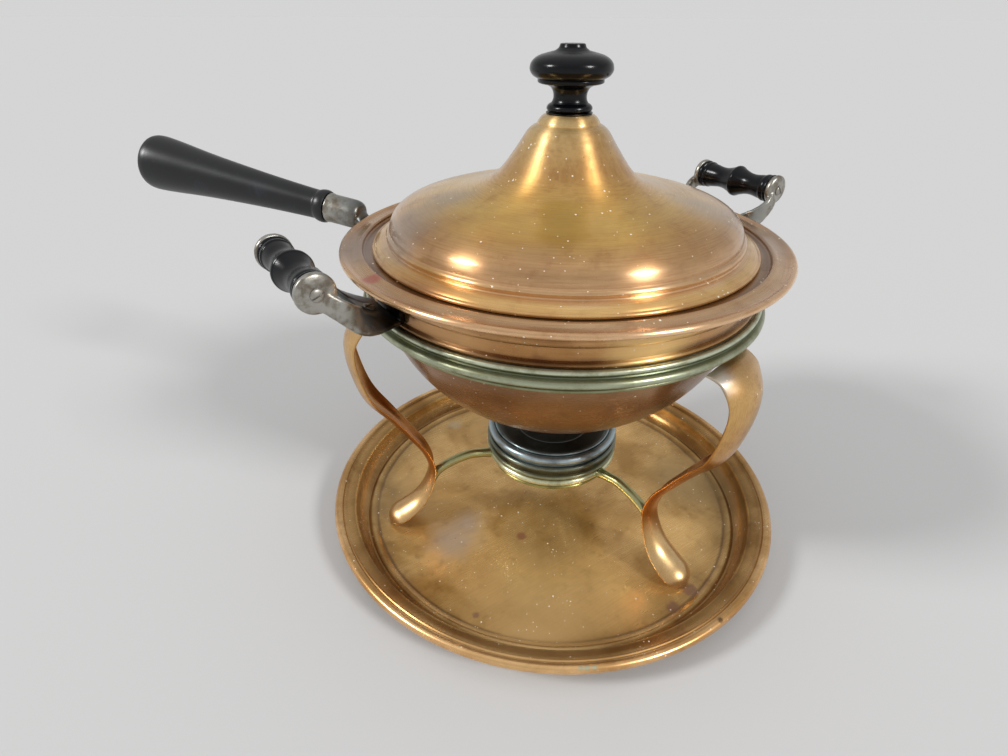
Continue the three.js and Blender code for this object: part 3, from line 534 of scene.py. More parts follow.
ringBase = baseOf("stand_ring")
ringTop = topOf("stand_ring") - 1.3  # seat of the water pan, below the top bead
metalLook = {
    "along": "height", "level": 0, "waver": 0, "wornShare": 0.5, "grain": "#c9c4b8", "wearScale": 0.05,
    "roughness": 0.24, "grainDepth": 0.3, "scratch": "#e6e4da", "turned": True, "metal": 0.85,
}
brassFinish = plainMetal("moulded_brass", {
    **metalLook, "level": ringBase, "worn": "#77744c", "grain": "#b9bca0", "roughness": 0.2, "wearScale": 0.08,
    "wornShare": 0.6,
    "tones": [
        (0, "#a5a886"), (2.2, "#8a8d6c"), (3.2, "#2e3325"), (4.8, "#a0a58a"), (6.7, "#b2b89e"), (8.6, "#9ea488"),
        (9.8, "#3d4431"), (10.8, "#a9ad90"), (12.2, "#cfd4bc"), (13.5, "#bfc4a8"),
    ],
})
holderFinish = plainMetal("holder_brass", {
    **metalLook, "level": baseOf("burner_holder"), "worn": "#5c5a3c", "grain": "#b6b696", "wearScale": 0.06,
    "roughness": 0.18, "metal": 0.8,
    "tones": [
        # the near-white band on the wide roll is a painted highlight
        (0, "#d2c878"), (2.4, "#8a8550"), (3.8, "#e6e8ba"), (6.6, "#f6f8d4"), (8.4, "#dadeb6"), (9.3, "#34362a"),
        (11.2, "#b0b494"), (13.6, "#30332c"), (15.4, "#464a40"), (17.8, "#8a9284"), (19.4, "#7a8278"),
    ],
})
strutFinish = plainMetal("strut_brass", {
    **metalLook, "worn": "#8f8a5c", "grain": "#c6c5a6", "turned": False, "roughness": 0.2, "metal": 0.9,
    "tones": [(25, "#7c8676"), (40, "#b4b488"), (52, "#b8b680")],
})
nickelPaintedShadeFinish = plainMetal("worn_nickel_painted_shade", {
    **metalLook, "along": "radius", "worn": "#6b5f50", "wornShare": 0.85, "grain": "#bdb9b0", "wearScale": 0.11,
    "grainDepth": 0.8, "turned": False,
    "tones": [
        # the tones darken to near black towards the pan's wall, where the flange overhangs: painted shade under the
        # flange; the brown wear is real
        (108, "#121314"), (122, "#24282a"), (130, "#565a5a"), (138, "#8b8c88"), (150, "#a6a49c"), (166, "#aaa8a0"),
    ],
})
darkFinish = plainMetal("dark_metal", {
    **metalLook, "along": "radius", "worn": "#26271e", "grain": "#aeb0a6", "scratch": "#8a9296", "wornShare": 0.55,
    "roughness": 0.18, "metal": 0.92,
    "tones": [(0, "#454a42"), (34, "#42473f"), (38, "#707a78"), (41, "#b0c2c4"), (45, "#bccdd6")],
})
steelFinish = plainMetal("plain_steel", {
    **metalLook, "worn": "#7d766c", "wearScale": 0.2, "roughness": 0.3, "turned": False,
    "tones": [(0, "#a8a49c"), (300, "#a8a49c")],
})


def woodFinish(name, look):
    # ebonised wood under old polish: faint grain along the piece, rubbed patches and small nicks
    made = Finish(name, metallic=0)
    grain = made.noise(1, made.stretched(look["axis"], (0.05, 0.9, 0.9)), detail=5, roughness=0.6)
    rubbed = made.noise(look["rubScale"], detail=5, distortion=0.5)
    colour = made.mix(grain.within(0.45, 0.8) * 0.5, look["base"], look["grain"])
    colour = made.mix(rubbed.within(0.55, 0.78) * look["rubShare"], colour, look["rubbed"])
    nicks = made.scratches(14, 0.4, (0.3, 0.2, 0.5), 0.29) + made.specks(6, 0.35, 0.3)
    colour = made.mix(nicks.math("MINIMUM", 1) * 0.4, colour, look["nick"])
    roughness = look["roughness"] + rubbed * 0.12 + grain * 0.05
    normal = made.bump(grain * 0.5 - nicks, 0.03)
    made.shader.inputs["Specular IOR Level"].default_value = look["gloss"]
    return made.put(colour=colour, roughness=roughness, normal=normal)


woodLook = {
    # the faint blue tint in these blacks is a painted bluish reflection
    "axis": (0, 0, 0), "base": "#050609", "grain": "#0a0d12", "rubbed": "#121720", "nick": "#4c4f52",
    "rubScale": 0.05, "rubShare": 0.6, "roughness": 0.13, "gloss": 0.28,
}
knobFinish = woodFinish("knob_wood", woodLook)
gripFinish = woodFinish("grip_wood", {**woodLook, "axis": (0, 0, -math.pi / 2), "rubShare": 0.5})
handleFinish = woodFinish("handle_wood", {
    **woodLook, "axis": (0, 0, -math.radians(handleAngle)), "roughness": 0.26, "rubShare": 0.9, "rubbed": "#1c242e",
    "gloss": 0.55,
})


def wickFinish(name, tone, fibre):
    made = Finish(name, metallic=0)
    tangle = made.noise(1.4, detail=8, roughness=0.7, distortion=1.2)
    colour = made.mix(tangle.within(0.4, 0.7), tone, fibre)
    return made.put(colour=colour, roughness=0.9 - tangle * 0.1, normal=made.bump(tangle, 0.6))


woolFinish = wickFinish("mineral_wool", "#b9b09a", "#e2dcc8")


def gauzeFinish(name):
    # woven wire: two crossing waves
    made = Finish(name)
    pitch = 0.6
    warp = (made.x * (math.pi / pitch)).math("SINE").math("ABSOLUTE")
    weft = (made.y * (math.pi / pitch)).math("SINE").math("ABSOLUTE")
    wires = warp.math("MAXIMUM", weft)
    colour = made.mix(wires.within(0.5, 0.9), "#24211d", "#9a948a")
    return made.put(colour=colour, roughness=0.5 - wires * 0.15, normal=made.bump(wires, 0.2))


wireFinish = gauzeFinish("wire_gauze")
print("finishes ready")

# Tray

tray = {
    "gauge": 1,
    "floor": [(0, 1), (60, 1), (120, 1), (126.4, 1)],
    "bead": [(127.2, 1.1), (129.3, 2.3), (130.7, 2.9), (132, 2.6), (133.2, 1.9)],
    "cove": [(134.2, 2.2), (136.6, 4.7), (138.6, 7.6), (139.8, 11), (140.4, 14.2)],
    "brim": [(141, 15.1), (142.4, 15.5), (145.2, 15.9), (147.2, 16.6), (148.6, 17.7)],
    "rim": [(152, -3, 3, 150, -150, 30)],  # from the top
}


def makeTray():
    outline = tray["floor"] + curved(tray, ("bead", "cove", "brim"), 0, 6) + traced(tray["rim"], topOf("tray"))
    standFor(spunSheet("tray_dish", outline, tray["gauge"]), "tray", trayFinish)


makeTray()

# Stand: ring, legs, struts and the burner's holder

ring = {
    "foot": [(111, 0), (111.8, 0), (111.9, 1.1, 1.1, -80, 70, 8)],
    "hollow": [(112.1, 2.5), (112.9, 3.4), (114.5, 4.4)],
    "roll": [(115.6, 6.7, 2.2, -100, 88, 20), (114.6, 9.2), (114.2, 9.8), (114.5, 10.4)],
    "bead": [(114, -0.2, 1.5, -50, 172, 20), (108.2, 0), (108.2, -1.3), (111, -1.3)],  # from the pan's seat
}


def makeRing():
    outline = traced(ring["foot"], ringBase) + curved(ring, ["hollow"], ringBase, 4)
    outline += traced(ring["roll"], ringBase) + traced(ring["bead"], ringTop)
    standFor(spunSolid("ring_band", outline, 192, sharp=28, closed=True), "stand_ring", brassFinish)


makeRing()

legs = {
    "angles": [-80.2, 39.8, 159.8],
    "gauge": 1.5,
    "line": [  # middle of the strap: radius and height
        (112.8, 162.7), (117.6, 161.2), (121.9, 157.7), (127, 146.4), (126, 129.9), (120, 109), (108.3, 92.3),
        (97.6, 75.9), (87.6, 58.6), (84.6, 41.4), (92.6, 21.2), (105, 9.6), (119, 2.9),
    ],
    "width": [  # this and the next two by the share of the way down
        (0, 40), (0.06, 35.5), (0.12, 33), (0.22, 31), (0.3, 28), (0.38, 21), (0.46, 17), (0.6, 15.5), (0.72, 15.5),
        (0.8, 18.2), (0.87, 22), (0.93, 24), (1, 24.2),
    ],
    "crown": [(0, 1.8), (0.05, 3.6), (0.12, 5), (0.3, 5.4), (0.46, 4.4), (0.74, 3.9), (0.85, 5), (0.93, 6), (1, 6)],
    "flank": [(0, 2), (0.3, 2.2), (0.46, 3.4), (0.75, 3.2), (0.88, 2.2), (1, 2)],
    "toe": 0.945, "tip": 0.004,  # where the rounded end of the foot begins, how blunt it ends
    "rows": 170, "faceSteps": 16, "edgeSteps": 6,
}


def along(table, way):
    # value at a way along, on a smooth line through the entries of a table
    line = curve(table, 8)
    for (start, before), (end, after) in zip(line, line[1:]):
        if way <= end:
            return before + (after - before) * (way - start) / (end - start)
    return table[-1][1]


def evenly(points):
    # place and heading at a share of the length of a line
    reach = [0]
    for here, there in zip(points, points[1:]):
        reach.append(reach[-1] + (Vector(there) - Vector(here)).length)

    def at(share):
        wanted = share * reach[-1]
        i = max(k for k in range(len(points) - 1) if reach[k] <= wanted + 1e-9)
        here, there = Vector(points[i]), Vector(points[i + 1])
        part = (wanted - reach[i]) / (reach[i + 1] - reach[i])
        before = Vector(points[max(i - 1, 0)])
        after = Vector(points[min(i + 2, len(points) - 1)])
        heading = (there - before).normalized().lerp((after - here).normalized(), part).normalized()
        return here.lerp(there, part), heading

    return at


legLine = evenly(curve(legs["line"], 8))


def legSection(way):
    # closed outline of the crowned strap: its face, a round edge, its back, a round edge
    half, crown, flank = along(legs["width"], way) / 2, along(legs["crown"], way), along(legs["flank"], way)
    gauge = legs["gauge"]
    toe = max(way - legs["toe"], 0) / (1 - legs["toe"])
    closing = math.sqrt(max(1 - toe * toe, legs["tip"]))
    half, crown = half * closing, crown * closing
    flat = max(half - gauge * 0.4, half * 0.5)

    def middle(y):
        rise = crown * (1 - abs(y / half) ** flank)
        slope = -crown * flank * abs(y / half) ** (flank - 1) / half * math.copysign(1, y)
        size = math.hypot(slope, 1)
        return rise - gauge / 2, (-slope / size, 1 / size)

    section = []
    for side in (1, -1):
        for i in range(legs["faceSteps"] + 1):
            y = side * flat * math.sin((2 * i / legs["faceSteps"] - 1) * math.pi / 2)
            rise, (ny, nz) = middle(y)
            section.append((y + side * ny * gauge / 2, rise + side * nz * gauge / 2))
        rise, (ny, nz) = middle(side * flat)
        for i in range(1, legs["edgeSteps"]):
            angle = math.pi * i / legs["edgeSteps"]
            c, s = side * math.cos(angle) * gauge / 2, side * math.sin(angle) * gauge / 2
            section.append((side * flat + ny * c + nz * s, rise + nz * c - ny * s))
    return section + section[:1]


legSections = [legSection(row / legs["rows"]) for row in range(legs["rows"] + 1)]


def legPlace(across, way):
    middle, heading = legLine(way)
    section = legSections[round(way * legs["rows"])]
    y, rise = section[round(across * (len(section) - 1))]
    return (middle.x - heading.y * rise, y, middle.y + heading.x * rise)


def makeLeg(number, angle):
    form = moved(gridForm(len(legSections[0]) - 1, legs["rows"], legPlace), turn(angle))
    standFor(meshPiece(f"leg_strap_{number}", form, 60), f"leg_{number}", legFinish)


struts = {
    "radius": 3.1, "flare": 0.2, "flareEnd": 0.09,  # thicker by a share up to there
    "line": [(44.6, 48.2), (52, 48.9), (60, 49), (72, 45.2), (82, 39.2), (86.4, 32.6)],
}
strutLine = evenly(curve(struts["line"], 8))


def strutPlace(across, way):
    middle, heading = strutLine(way)
    angle = across * 2 * math.pi
    radius = struts["radius"] * (1 + struts["flare"] * max(0, 1 - way / struts["flareEnd"]) ** 2)
    rise = radius * math.sin(angle)
    return (middle.x - heading.y * rise, radius * math.cos(angle), middle.y + heading.x * rise)


def makeStrut(number, angle):
    form = moved(gridForm(20, 48, strutPlace), turn(angle))
    standFor(meshPiece(f"strut_rod_{number}", form, 50), f"burner_strut_{number}", strutFinish)


for number, angle in enumerate(legs["angles"], 1):
    makeLeg(number, angle)
    makeStrut(number, angle)

holder = {
    "outside": [
        (32, 3), (39.8, 3), (40.2, 0.2), (41.4, 0.9, 0.9, -80, 60, 8), (41.6, 2.2), (42, 3.4),
        (42.6, 6.6, 2.4, -72, 60, 16), (43.75, 9.4), (43.5, 11.2, 1.5, -76, 78, 14), (43.75, 16),
        (43.5, 17.8, 1.5, -76, 78, 14),
    ],
    "mouth": [(43.5, 0), (43.2, -0.4)],  # from the top
    "ledge": [(43.2, 4.5), (32, 4.5)],
}


def makeHolder():
    base, top = baseOf("burner_holder"), topOf("burner_holder")
    outline = traced(holder["outside"], base) + traced(holder["mouth"], top) + traced(holder["ledge"], base)
    standFor(spunSolid("holder_ring", outline, 128, sharp=28, closed=True), "burner_holder", holderFinish)


makeHolder()
print("stand ready")

# Burner and snuffer

burner = {
    "foot": [(0, 0), (40.6, 0), (40.6, 1.8, 1.8, -80, 0, 6)],
    "bead": [(41.6, -2.8, 2.8, -72, 240, 30), (41.4, -5.6)],  # from the top
    "inside": [(41.4, 2), (40.4, 1), (0, 1)],
    "collar": [
        (25, 1.2), (26, 1, 0.8, 170, 90, 5), (36.5, 1.8), (36.9, 2.4, 0.6, -90, 0, 4), (37.5, 4), (38.5, 4),
        (38.5, 1), (37.5, 0), (25, 0),
    ],
}


def makeBurner():
    base, top = baseOf("burner_can"), topOf("burner_can")
    outline = traced(burner["foot"], base) + traced(burner["bead"], top) + traced(burner["inside"], base)
    standFor(spunSolid("burner_cup", outline, 128), "burner_can", darkFinish)
    outline = traced(burner["collar"], baseOf("burner_collar"))
    standFor(spunSolid("burner_neck", outline, 128, closed=True), "burner_collar", darkFinish)


snuffer = {
    "gauge": 0.56,
    "plate": [(0, 0.8), (9, 0.8), (22, 0.8), (24, 1), (25, 1.4), (26.5, 1.35), (35.6, 1.3), (37, 1.6), (37.9, 2.4)],
    "rim": [(39.1, -0.9, 0.9, 150, -120, 16)],  # from the top
}


def makeSnuffer():
    outline = curved(snuffer, ["plate"], baseOf("snuffer_lid"), 5) + traced(snuffer["rim"], topOf("snuffer_lid"))
    standFor(spunSheet("snuffer_plate", outline, snuffer["gauge"], 128), "snuffer_lid", darkFinish)


makeBurner()
makeSnuffer()
refinish("wick_packing", woolFinish)
refinish("wick_gauze", wireFinish)
print("burner ready")

# Pans and lid

waterPan = {
    "gauge": 0.9, "play": 0.3,
    "floor": [(0, 0), (16.9, 0)],
    "mouth": 106.5, "depth": 90.1, "fullness": 1.93, "flat": 33.8,
    "shelf": [(110.6, 0.7, 0.7, -90, 70, 8), (109.5, 2.4), (109.5, 6)],
    "wallTop": [(109.5, -7.28)],  # from the top
    "roll": (112.2, -5.2), "rollWidth": 5.6, "rollHeight": 10.4,  # its middle from the top
}


def makeWaterPan():
    base, top = baseOf("water_pan") + waterPan["gauge"], topOf("water_pan")
    shelf = ringTop + waterPan["play"] + waterPan["gauge"]
    outline = traced(waterPan["floor"], base)
    outline += bowl(waterPan["mouth"], shelf, waterPan["depth"], waterPan["fullness"], waterPan["flat"])
    outline += traced(waterPan["shelf"], shelf) + traced(waterPan["wallTop"], top)
    centre, middle = waterPan["roll"]
    for across, up in arc(0, 0, 0.5, 150, -118, 30):
        outline += [(centre + across * waterPan["rollWidth"], top + middle + up * waterPan["rollHeight"])]
    standFor(spunSheet("water_bowl", outline, waterPan["gauge"]), "water_pan", bowlFinish)


foodPan = {
    "gauge": 0.9, "play": 0.3,
    "mouth": 103.7, "fullness": 2.7, "flat": 1,
    "ledge": [(113.4, 1.2, 1.2, -90, -6, 5)],
    "step": [(115.7, -1.1, 1.1, 176, 90, 7)],  # this and the next from the top
    "flange": [(116.8, -0.1), (119.2, -0.9), (122.4, -1.1), (124.3, -0.6)],
    "rim": [(125.7, -1.7, 1.7, 112, -150, 20)],
}


def makeFoodPan():
    base, top = baseOf("food_pan") + foodPan["gauge"], topOf("food_pan")
    ledge = baseOf("lid") - foodPan["play"]
    outline = [(0, base), *bowl(foodPan["mouth"], ledge, ledge - base, foodPan["fullness"], foodPan["flat"])]
    outline += traced(foodPan["ledge"], ledge) + traced(foodPan["step"], top)
    outline += curved(foodPan, ["flange"], top, 5) + traced(foodPan["rim"], top)
    standFor(spunSheet("food_bowl", outline, foodPan["gauge"]), "food_pan", flangeFinish)


lid = {
    "gauge": 0.9,
    "crown": [(2.4, 67.7), (9, 67.7), (12.4, 67.6)],
    "collar": [(13.4, 67.2), (14.6, 66.4), (16.1, 64.6), (16.7, 63.3), (16.7, 62.9)],
    "slope": [
        (17.2, 62.7), (19.6, 61.4), (22.2, 58.9), (27.2, 51.4), (34.3, 41.6), (39, 36.9), (45.4, 32.9), (58.1, 28.9),
        (74.4, 25.7), (86.6, 22.5), (92.8, 19.8), (96.8, 16.4), (98.7, 12.6), (99.2, 10),
    ],
    "bead": [(99.6, 9.6), (100.6, 9), (101.2, 7.9), (100.9, 6.8), (100.6, 6)],
    "skirt": [(100.9, 5.4), (102.4, 5), (104.8, 4.3), (106.9, 3.2), (107.9, 2.3)],
    "edge": [(108.3, 1.1, 1.1, 85, -150, 16)],
}


def makeLid():
    seat = baseOf("lid")
    outline = curved(lid, ("crown", "collar", "slope", "bead", "skirt"), seat, 5) + traced(lid["edge"], seat)
    standFor(spunSheet("lid_dome", outline, lid["gauge"]), "lid", lidFinish)


makeWaterPan()
makeFoodPan()
makeLid()
print("pans and lid ready")

# Knob

knob = {
    "bore": [(0, 13.3), (2.3, 13.3), (2.3, 0)],
    "foot": [(11.2, 0.2), (11.9, 0.9), (12, 1.9), (11.4, 3), (10.3, 3.8)],
    "neck": [(9.7, 4.1), (9, 5.4), (8.7, 7.2), (9.1, 9.4), (10.4, 11.4), (12.8, 12.6)],
    "lip": [(15.8, 13.1), (16.9, 13.6), (17.2, 14.4), (17, 15.2)],
    "ball": [
        (17.8, 15.6), (19.9, 16.9), (21.2, 18.8), (21.4, 20.4), (20.8, 22.6), (19, 24.6), (16.2, 26.1), (12.2, 27.2),
    ],
    "nub": [(8.8, 28), (7.1, 29.2), (6.6, 30.2), (6.3, 30.9), (5.4, 31.2), (3, 31.2), (0, 31.2)],
    "collarBore": 2.3, "collarRadius": 12,
}


def makeKnob():
    base = baseOf("lid_knob")
    outline = traced(knob["bore"], base) + curved(knob, ("foot", "neck", "lip", "ball", "nub"), base, 5)
    standFor(spunSolid("knob_turning", outline, 96), "lid_knob", knobFinish)
    base, top = baseOf("knob_collar"), topOf("knob_collar")
    bore, radius = knob["collarBore"], knob["collarRadius"]
    edge = arc(radius, (base + top) / 2, (top - base) / 2, -80, 80, 6)
    outline = [(bore, base), (radius + 0.1, base), *edge, (bore, top)]
    standFor(spunSolid("collar_disc", outline, 96, closed=True), "knob_collar", nickelPaintedShadeFinish)


makeKnob()

# Side grips, their brackets and screws

bracket = {
    "webRise": 4, "webClimb": 27, "webCurve": 1.8, "start": 108.2, "reach": 155.6,
    "webThickness": 3.2, "armThickness": 3.4, "voxel": 0.55, "softened": 5,
    # reach, distance from the middle, lift, half width, twist
    "web": [
        (113.9, 0, 0, 18, 0), (118, 0, 0, 19.6, 0), (122, 0, 0, 20.4, 0), (127, 0, 0, 18.6, 0), (130, 0, 0, 16, 0),
    ],
    "arm": [
        (116.8, 9.8, 0, 7.5, 0), (122, 13.6, 0.1, 7.6, 1), (127, 18.4, 0.3, 7.5, 4), (135.1, 26.2, 1.2, 7.4, 16),
        (141.2, 30.8, 2.6, 6.75, 40), (146.9, 32.8, 3.4, 5.55, 68), (151.3, 31.8, 3.2, 4.86, 86),
        (154.8, 30.3, 2.6, 4.5, 90), (155.6, 29.9, 4.4, 4.3, 90),
    ],
    "square": 5,  # how square the bars' corners are
    "disc": [(0, 28.05), (8.8, 28.05), (9.3, 28.75), (9.3, 30.55), (8.9, 31.05)],  # radius, place along the grip
    "discFace": [(8.4, 31.35), (6.696, 31.95), (4.65, 32.25), (0, 32.25)],
    "screwReach": 123.5,
}
gripHeight = (baseOf("side_grip_right") + topOf("side_grip_right")) / 2


def webUnder(reach):
    rise = max(reach - bracket["start"], 0) / (bracket["reach"] - bracket["start"])
    return ringTop + bracket["webRise"] + bracket["webClimb"] * rise ** bracket["webCurve"]


def roundedBar(across, half, thickness):
    # point on a flat bar's rounded outline
    angle, power = across * 2 * math.pi, 2 / bracket["square"]
    c, s = math.cos(angle), math.sin(angle)
    return half * math.copysign(abs(c) ** power, c), thickness / 2 * math.copysign(abs(s) ** power, s)


def sweptBar(stations, thickness, rows, side=1):
    # flat bar along stations on one side of the web's middle
    middles, shapes = [], []
    for reach, y, lift, half, twist in stations:
        middles.append((reach, side * y, webUnder(reach) + bracket["webThickness"] / 2 + lift))
        shapes.append((half, side * twist))
    line, shape = evenly(curve(middles)), curve(shapes)

    def place(across, way):
        middle, heading = line(way)
        half, twist = shape[round(way * (len(shape) - 1))]
        level = Quaternion(heading, -math.radians(twist)) @ Vector((0, 1, 0))
        level = (level - heading * level.dot(heading)).normalized()
        upward = heading.cross(level)
        y, z = roundedBar(across, half, thickness)
        return middle + level * y + upward * z

    return gridForm(28, rows, place)


def ontoGrip(side, angle):
    # a turned piece with its axis along Z goes onto the grip's axis
    lay = Matrix.Rotation(-side * math.pi / 2, 4, "X")
    return turn(angle) @ Matrix.Translation((bracket["reach"], 0, gripHeight)) @ lay


def discForm(side):
    return moved(spunForm(bracket["disc"] + curve(bracket["discFace"], 5), 64), ontoGrip(side, 0))


def makeBracket(name, angle):
    web = sweptBar(bracket["web"], bracket["webThickness"], 40)
    arms = [sweptBar(bracket["arm"], bracket["armThickness"], 60, side) for side in (1, -1)]
    form = moved(joined([web, *arms, discForm(1), discForm(-1)]), turn(angle))
    piece = castPiece(f"bracket_casting_{name}", form, bracket["voxel"], bracket["softened"])
    standFor(piece, f"bracket_{name}", nickelPaintedShadeFinish)


grip = {
    "half": 27.75, "bore": 2.1, "boreDepth": 9.5,
    "end": [(8.2, 0), (8.8, 0.5), (8.9, 1.3), (8.6, 2.1), (8.1, 2.5)],
    "step": [(8.3, 2.9), (8.5, 3.6), (8.5, 5), (8.1, 5.6)],
    "cove": [(7.9, 6.2), (7.5, 9), (6.9, 13), (6.8, 16), (7.2, 19.4), (8.4, 23.4), (9.5, 26.2)],
    "bead": [(9.7, 26.4), (10, 27.1), (10, 27.75)],
}


def makeGrip(name, angle):
    end, bore, floor = grip["half"], grip["bore"], grip["half"] - grip["boreDepth"]
    half = curved(grip, ("end", "step", "cove", "bead"), -end, 5)
    other = [(radius, -height) for radius, height in reversed(half)]
    outline = [(0, -floor), (bore, -floor), (bore, -end), *half, *other[1:], (bore, end), (bore, floor), (0, floor)]
    standFor(spunSolid(f"grip_turning_{name}", outline, 80, ontoGrip(1, angle)), f"side_grip_{name}", gripFinish)


screws = {
    "dome": [(1, 0.12), (0.86, 0.26), (0.5, 0.391), (0, 0.425)],  # like the slot, in shares of the head's radius
    "slotWidth": 0.26, "slotDepth": 0.32, "slotFrom": 0.13,
    "grip": (1.7, 3.1, 13.6), "web": (1.8, 3.6, 7.2),  # radius of the shank and of the head, length
    "gap": 0.1,
    "ends": (("a", 1, 25), ("b", -1, -62)), "webSpin": 40,  # side, how far the slot is turned
}


def screwPiece(name, kind, place):
    # a domed head with a slot cut down into it, its seat at zero and its shank below
    shank, head, length = screws[kind]
    dome = curve([(head * reach, head * rise) for reach, rise in screws["dome"]], 4)
    form = spunForm([(0, -length), (shank, -length), (shank, 0), (head, 0), *dome], 48)
    half = head * screws["slotWidth"] / 2
    for side in (-1, 1):
        whole = [*form.verts, *form.edges, *form.faces]
        bmesh.ops.bisect_plane(form, geom=whole, plane_co=(0, side * half, 0), plane_no=(0, 1, 0))
    slot = []
    for face in form.faces:
        middle = face.calc_center_median()
        if abs(middle.y) < half and middle.z > head * screws["slotFrom"] and face.normal.z > 0.3:
            slot.append(face)
    cut = bmesh.ops.extrude_face_region(form, geom=slot)["geom"]
    sunk = [part for part in cut if isinstance(part, bmesh.types.BMVert)]
    bmesh.ops.translate(form, vec=(0, 0, -head * screws["slotDepth"]), verts=sunk)
    bmesh.ops.delete(form, geom=slot, context="FACES")
    return meshPiece(name, moved(form, place), 30)


def makeScrews(name, angle):
    seat = bracket["discFace"][-1][1] + screws["gap"]
    for end, side, spin in screws["ends"]:
        place = ontoGrip(side, angle) @ Matrix.Translation((0, 0, seat)) @ turn(spin)
        piece = screwPiece(f"grip_screw_head_{name}_{end}", "grip", place)
        standFor(piece, f"grip_screw_{name}_{end}", steelFinish)
    reach = bracket["screwReach"]
    slope = math.atan2(webUnder(reach + 1) - webUnder(reach - 1), 2)
    under = Matrix.Translation((reach, 0, webUnder(reach))) @ Matrix.Rotation(-slope, 4, "Y")
    seat = bracket["webThickness"] + screws["gap"]
    place = turn(angle) @ under @ Matrix.Translation((0, 0, seat)) @ turn(screws["webSpin"])
    standFor(screwPiece(f"web_screw_{name}", "web", place), f"bracket_screw_{name}", steelFinish)


for name, angle in (("right", 0), ("left", 180)):
    makeBracket(name, angle)
    makeGrip(name, angle)
    makeScrews(name, angle)
    refinish(f"bracket_lug_{name}", nickelPaintedShadeFinish)
print("grips ready")

# Long handle and its socket

handle = {
    "slope": 8.6, "reach": 154.57, "height": 203.3,
    "bore": [(0, 68.2), (2.3, 68.2), (2.3, -7), (6.2, -7), (6.2, 0.3), (8.7, 0.3)],  # round the tang and the ferrule
    "bead": [(9.7, 0.4), (10.3, 1.8), (10.4, 4), (10, 6.2), (9.4, 7.4)],
    "taper": [(9.2, 8.4), (9.5, 18), (11, 47.6), (13.8, 86.6), (16.6, 114), (17.5, 124), (17.7, 128.8)],
    "end": [(17.5, 131.4), (16.7, 133.4), (14.6, 134.6), (11, 135.5), (6, 135.9), (0, 136)],
}
handlePlace = (
    turn(handleAngle) @ Matrix.Translation((handle["reach"], 0, handle["height"]))
    @ Matrix.Rotation(math.radians(90 - handle["slope"]), 4, "Y")
)


def makeHandle():
    outline = handle["bore"] + curved(handle, ("bead", "taper", "end"), 0, 6)
    standFor(spunSolid("handle_turning", outline, 96, handlePlace), "long_handle", handleFinish)


socket = {
    "barrel": [(0, -23.4), (6, -23.2), (7.6, -22.4), (8.5, -20.8), (8.9, -18.8), (9, -16.8), (9, -3), (9.1, -2.2)],
    "lip": [(9.3, -1.6), (9.4, -0.9), (9.3, 0), (6.5, 0), (6.5, -7.3), (0, -7.3)],
    "shank": [  # reach, height, half width, thickness, lean
        (118.6, 195.8, 8, 2.6, 0), (122.9, 195.8, 7.4, 2.6, 0), (128.4, 195.8, 7, 2.8, 12), (131, 197.4, 7.2, 6, 30),
        (133.6, 199, 7.4, 10, 20), (136.6, 200.1, 7.4, 12.4, 9), (139, 200.6, 7, 12.4, 9),
    ],
    "pad": (118.3, 123.1, 195.6, 198.4, 9.5),  # inner and outer radius, bottom and top, half angle
    "voxel": 0.5, "softened": 4,
}


def makeSocket():
    barrel = moved(spunForm(curve(socket["barrel"], 3) + socket["lip"], 64), turn(-handleAngle) @ handlePlace)
    line = curve(socket["shank"])

    def shankPlace(across, way):
        reach, height, half, thick, lean = line[round(way * (len(line) - 1))]
        angle = across * 2 * math.pi
        rise, tilt = math.sin(angle) * thick / 2, math.radians(lean)
        return (reach - rise * math.sin(tilt), math.cos(angle) * half, height + rise * math.cos(tilt))

    shank = gridForm(32, len(line) - 1, shankPlace)
    inner, outer, low, high, halfAngle = socket["pad"]

    def padPlace(across, way):
        turned = math.radians((way * 2 - 1) * halfAngle)
        corner = across * 4
        radius = inner + (outer - inner) * min(max(min(corner, 3 - corner), 0), 1)
        height = low + (high - low) * min(max(corner - 1, 0), 1) if corner < 3 else high - (high - low) * (corner - 3)
        return (radius * math.cos(turned), radius * math.sin(turned), height)

    pad = gridForm(4, 12, padPlace)
    form = moved(joined([barrel, shank, pad]), turn(handleAngle))
    standFor(castPiece("socket_casting", form, socket["voxel"], socket["softened"]), "handle_socket", nickelPaintedShadeFinish)


makeHandle()
makeSocket()
for node in ("handle_tang", "knob_screw", "knob_washer"):
    refinish(node, steelFinish)
print("handle ready")

# Floor, light and camera

studio = {
    "floor": 0.6, "reach": 60, "drop": 0.3,  # grey value, radius in metres, gap under the tray in millimetres
    "suns": [(160, 35, 13, 1.6), (-73, 33, 13, 1.6)],  # azimuth, height angle, width, strength
    "sky": [(0, 0.66), (0.06, 0.66), (0.45, 0.42), (0.8, 0.54), (1, 0.68)],  # sine of the height angle, brightness
}
camera = {
    "place": (-219, -263.8, 311.3), "heading": 55.96, "down": 31.45, "roll": 0.22,  # angles in degrees
    "lens": 21.32, "sensor": 36, "clip": (0.01, 50),
}


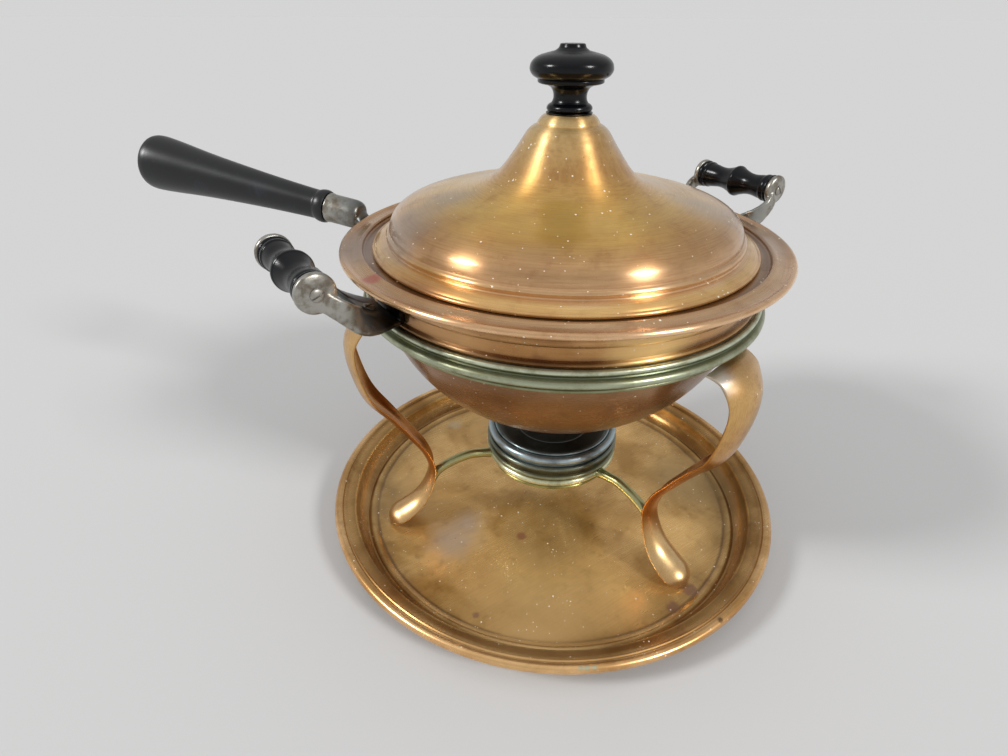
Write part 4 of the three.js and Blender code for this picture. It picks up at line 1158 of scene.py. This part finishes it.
def makeFloor():
    form = bmesh.new()
    bmesh.ops.create_circle(form, cap_ends=True, segments=96, radius=studio["reach"] / mm)
    bmesh.ops.translate(form, vec=(0, 0, -studio["drop"]), verts=form.verts)
    floor = meshPiece("floor", form)
    made = Finish("floor_paper", metallic=0)
    made.shader.inputs["Base Color"].default_value = grey(studio["floor"])
    made.shader.inputs["Roughness"].default_value = 1
    made.shader.inputs["Specular IOR Level"].default_value = 0
    floor.data.materials.append(made.material)


def makeSky():
    # at the horizon as bright as the floor looks under it, so that no edge shows between them
    world = bpy.data.worlds.new("studio")
    bpy.context.scene.world = world
    world.use_nodes = True
    nodes, links = world.node_tree.nodes, world.node_tree.links
    towards = nodes.new("ShaderNodeTexCoord")
    parts = nodes.new("ShaderNodeSeparateXYZ")
    shade = nodes.new("ShaderNodeValToRGB")
    setStops(shade.color_ramp, [(sine, grey(brightness)) for sine, brightness in studio["sky"]])
    links.new(towards.outputs["Generated"], parts.inputs[0])
    links.new(parts.outputs["Z"], shade.inputs[0])
    links.new(shade.outputs[0], nodes["Background"].inputs["Color"])


def direction(azimuth, height):
    level, turned = math.cos(math.radians(height)), math.radians(azimuth)
    return Vector((level * math.cos(turned), level * math.sin(turned), math.sin(math.radians(height))))


def makeLamps():
    for number, (azimuth, height, width, strength) in enumerate(studio["suns"], 1):
        data = bpy.data.lights.new(f"sun_{number}", "SUN")
        data.angle = math.radians(width)
        data.energy = strength
        placed(f"sun_{number}", data).rotation_euler = direction(azimuth, height).to_track_quat("Z", "Y").to_euler()


def makeCamera():
    data = bpy.data.cameras.new("camera")
    data.lens = camera["lens"]
    data.sensor_width = camera["sensor"]
    data.clip_start, data.clip_end = camera["clip"]
    eye = placed("camera", data)
    eye.location = Vector(camera["place"]) * mm
    level = direction(camera["heading"], -camera["down"]).to_track_quat("-Z", "Y")
    eye.rotation_euler = (level @ Quaternion((0, 0, 1), math.radians(camera["roll"]))).to_euler()
    bpy.context.scene.camera = eye


makeFloor()
makeSky()
makeLamps()
makeCamera()
bpy.context.scene.view_settings.view_transform = "Standard"
print("studio ready")
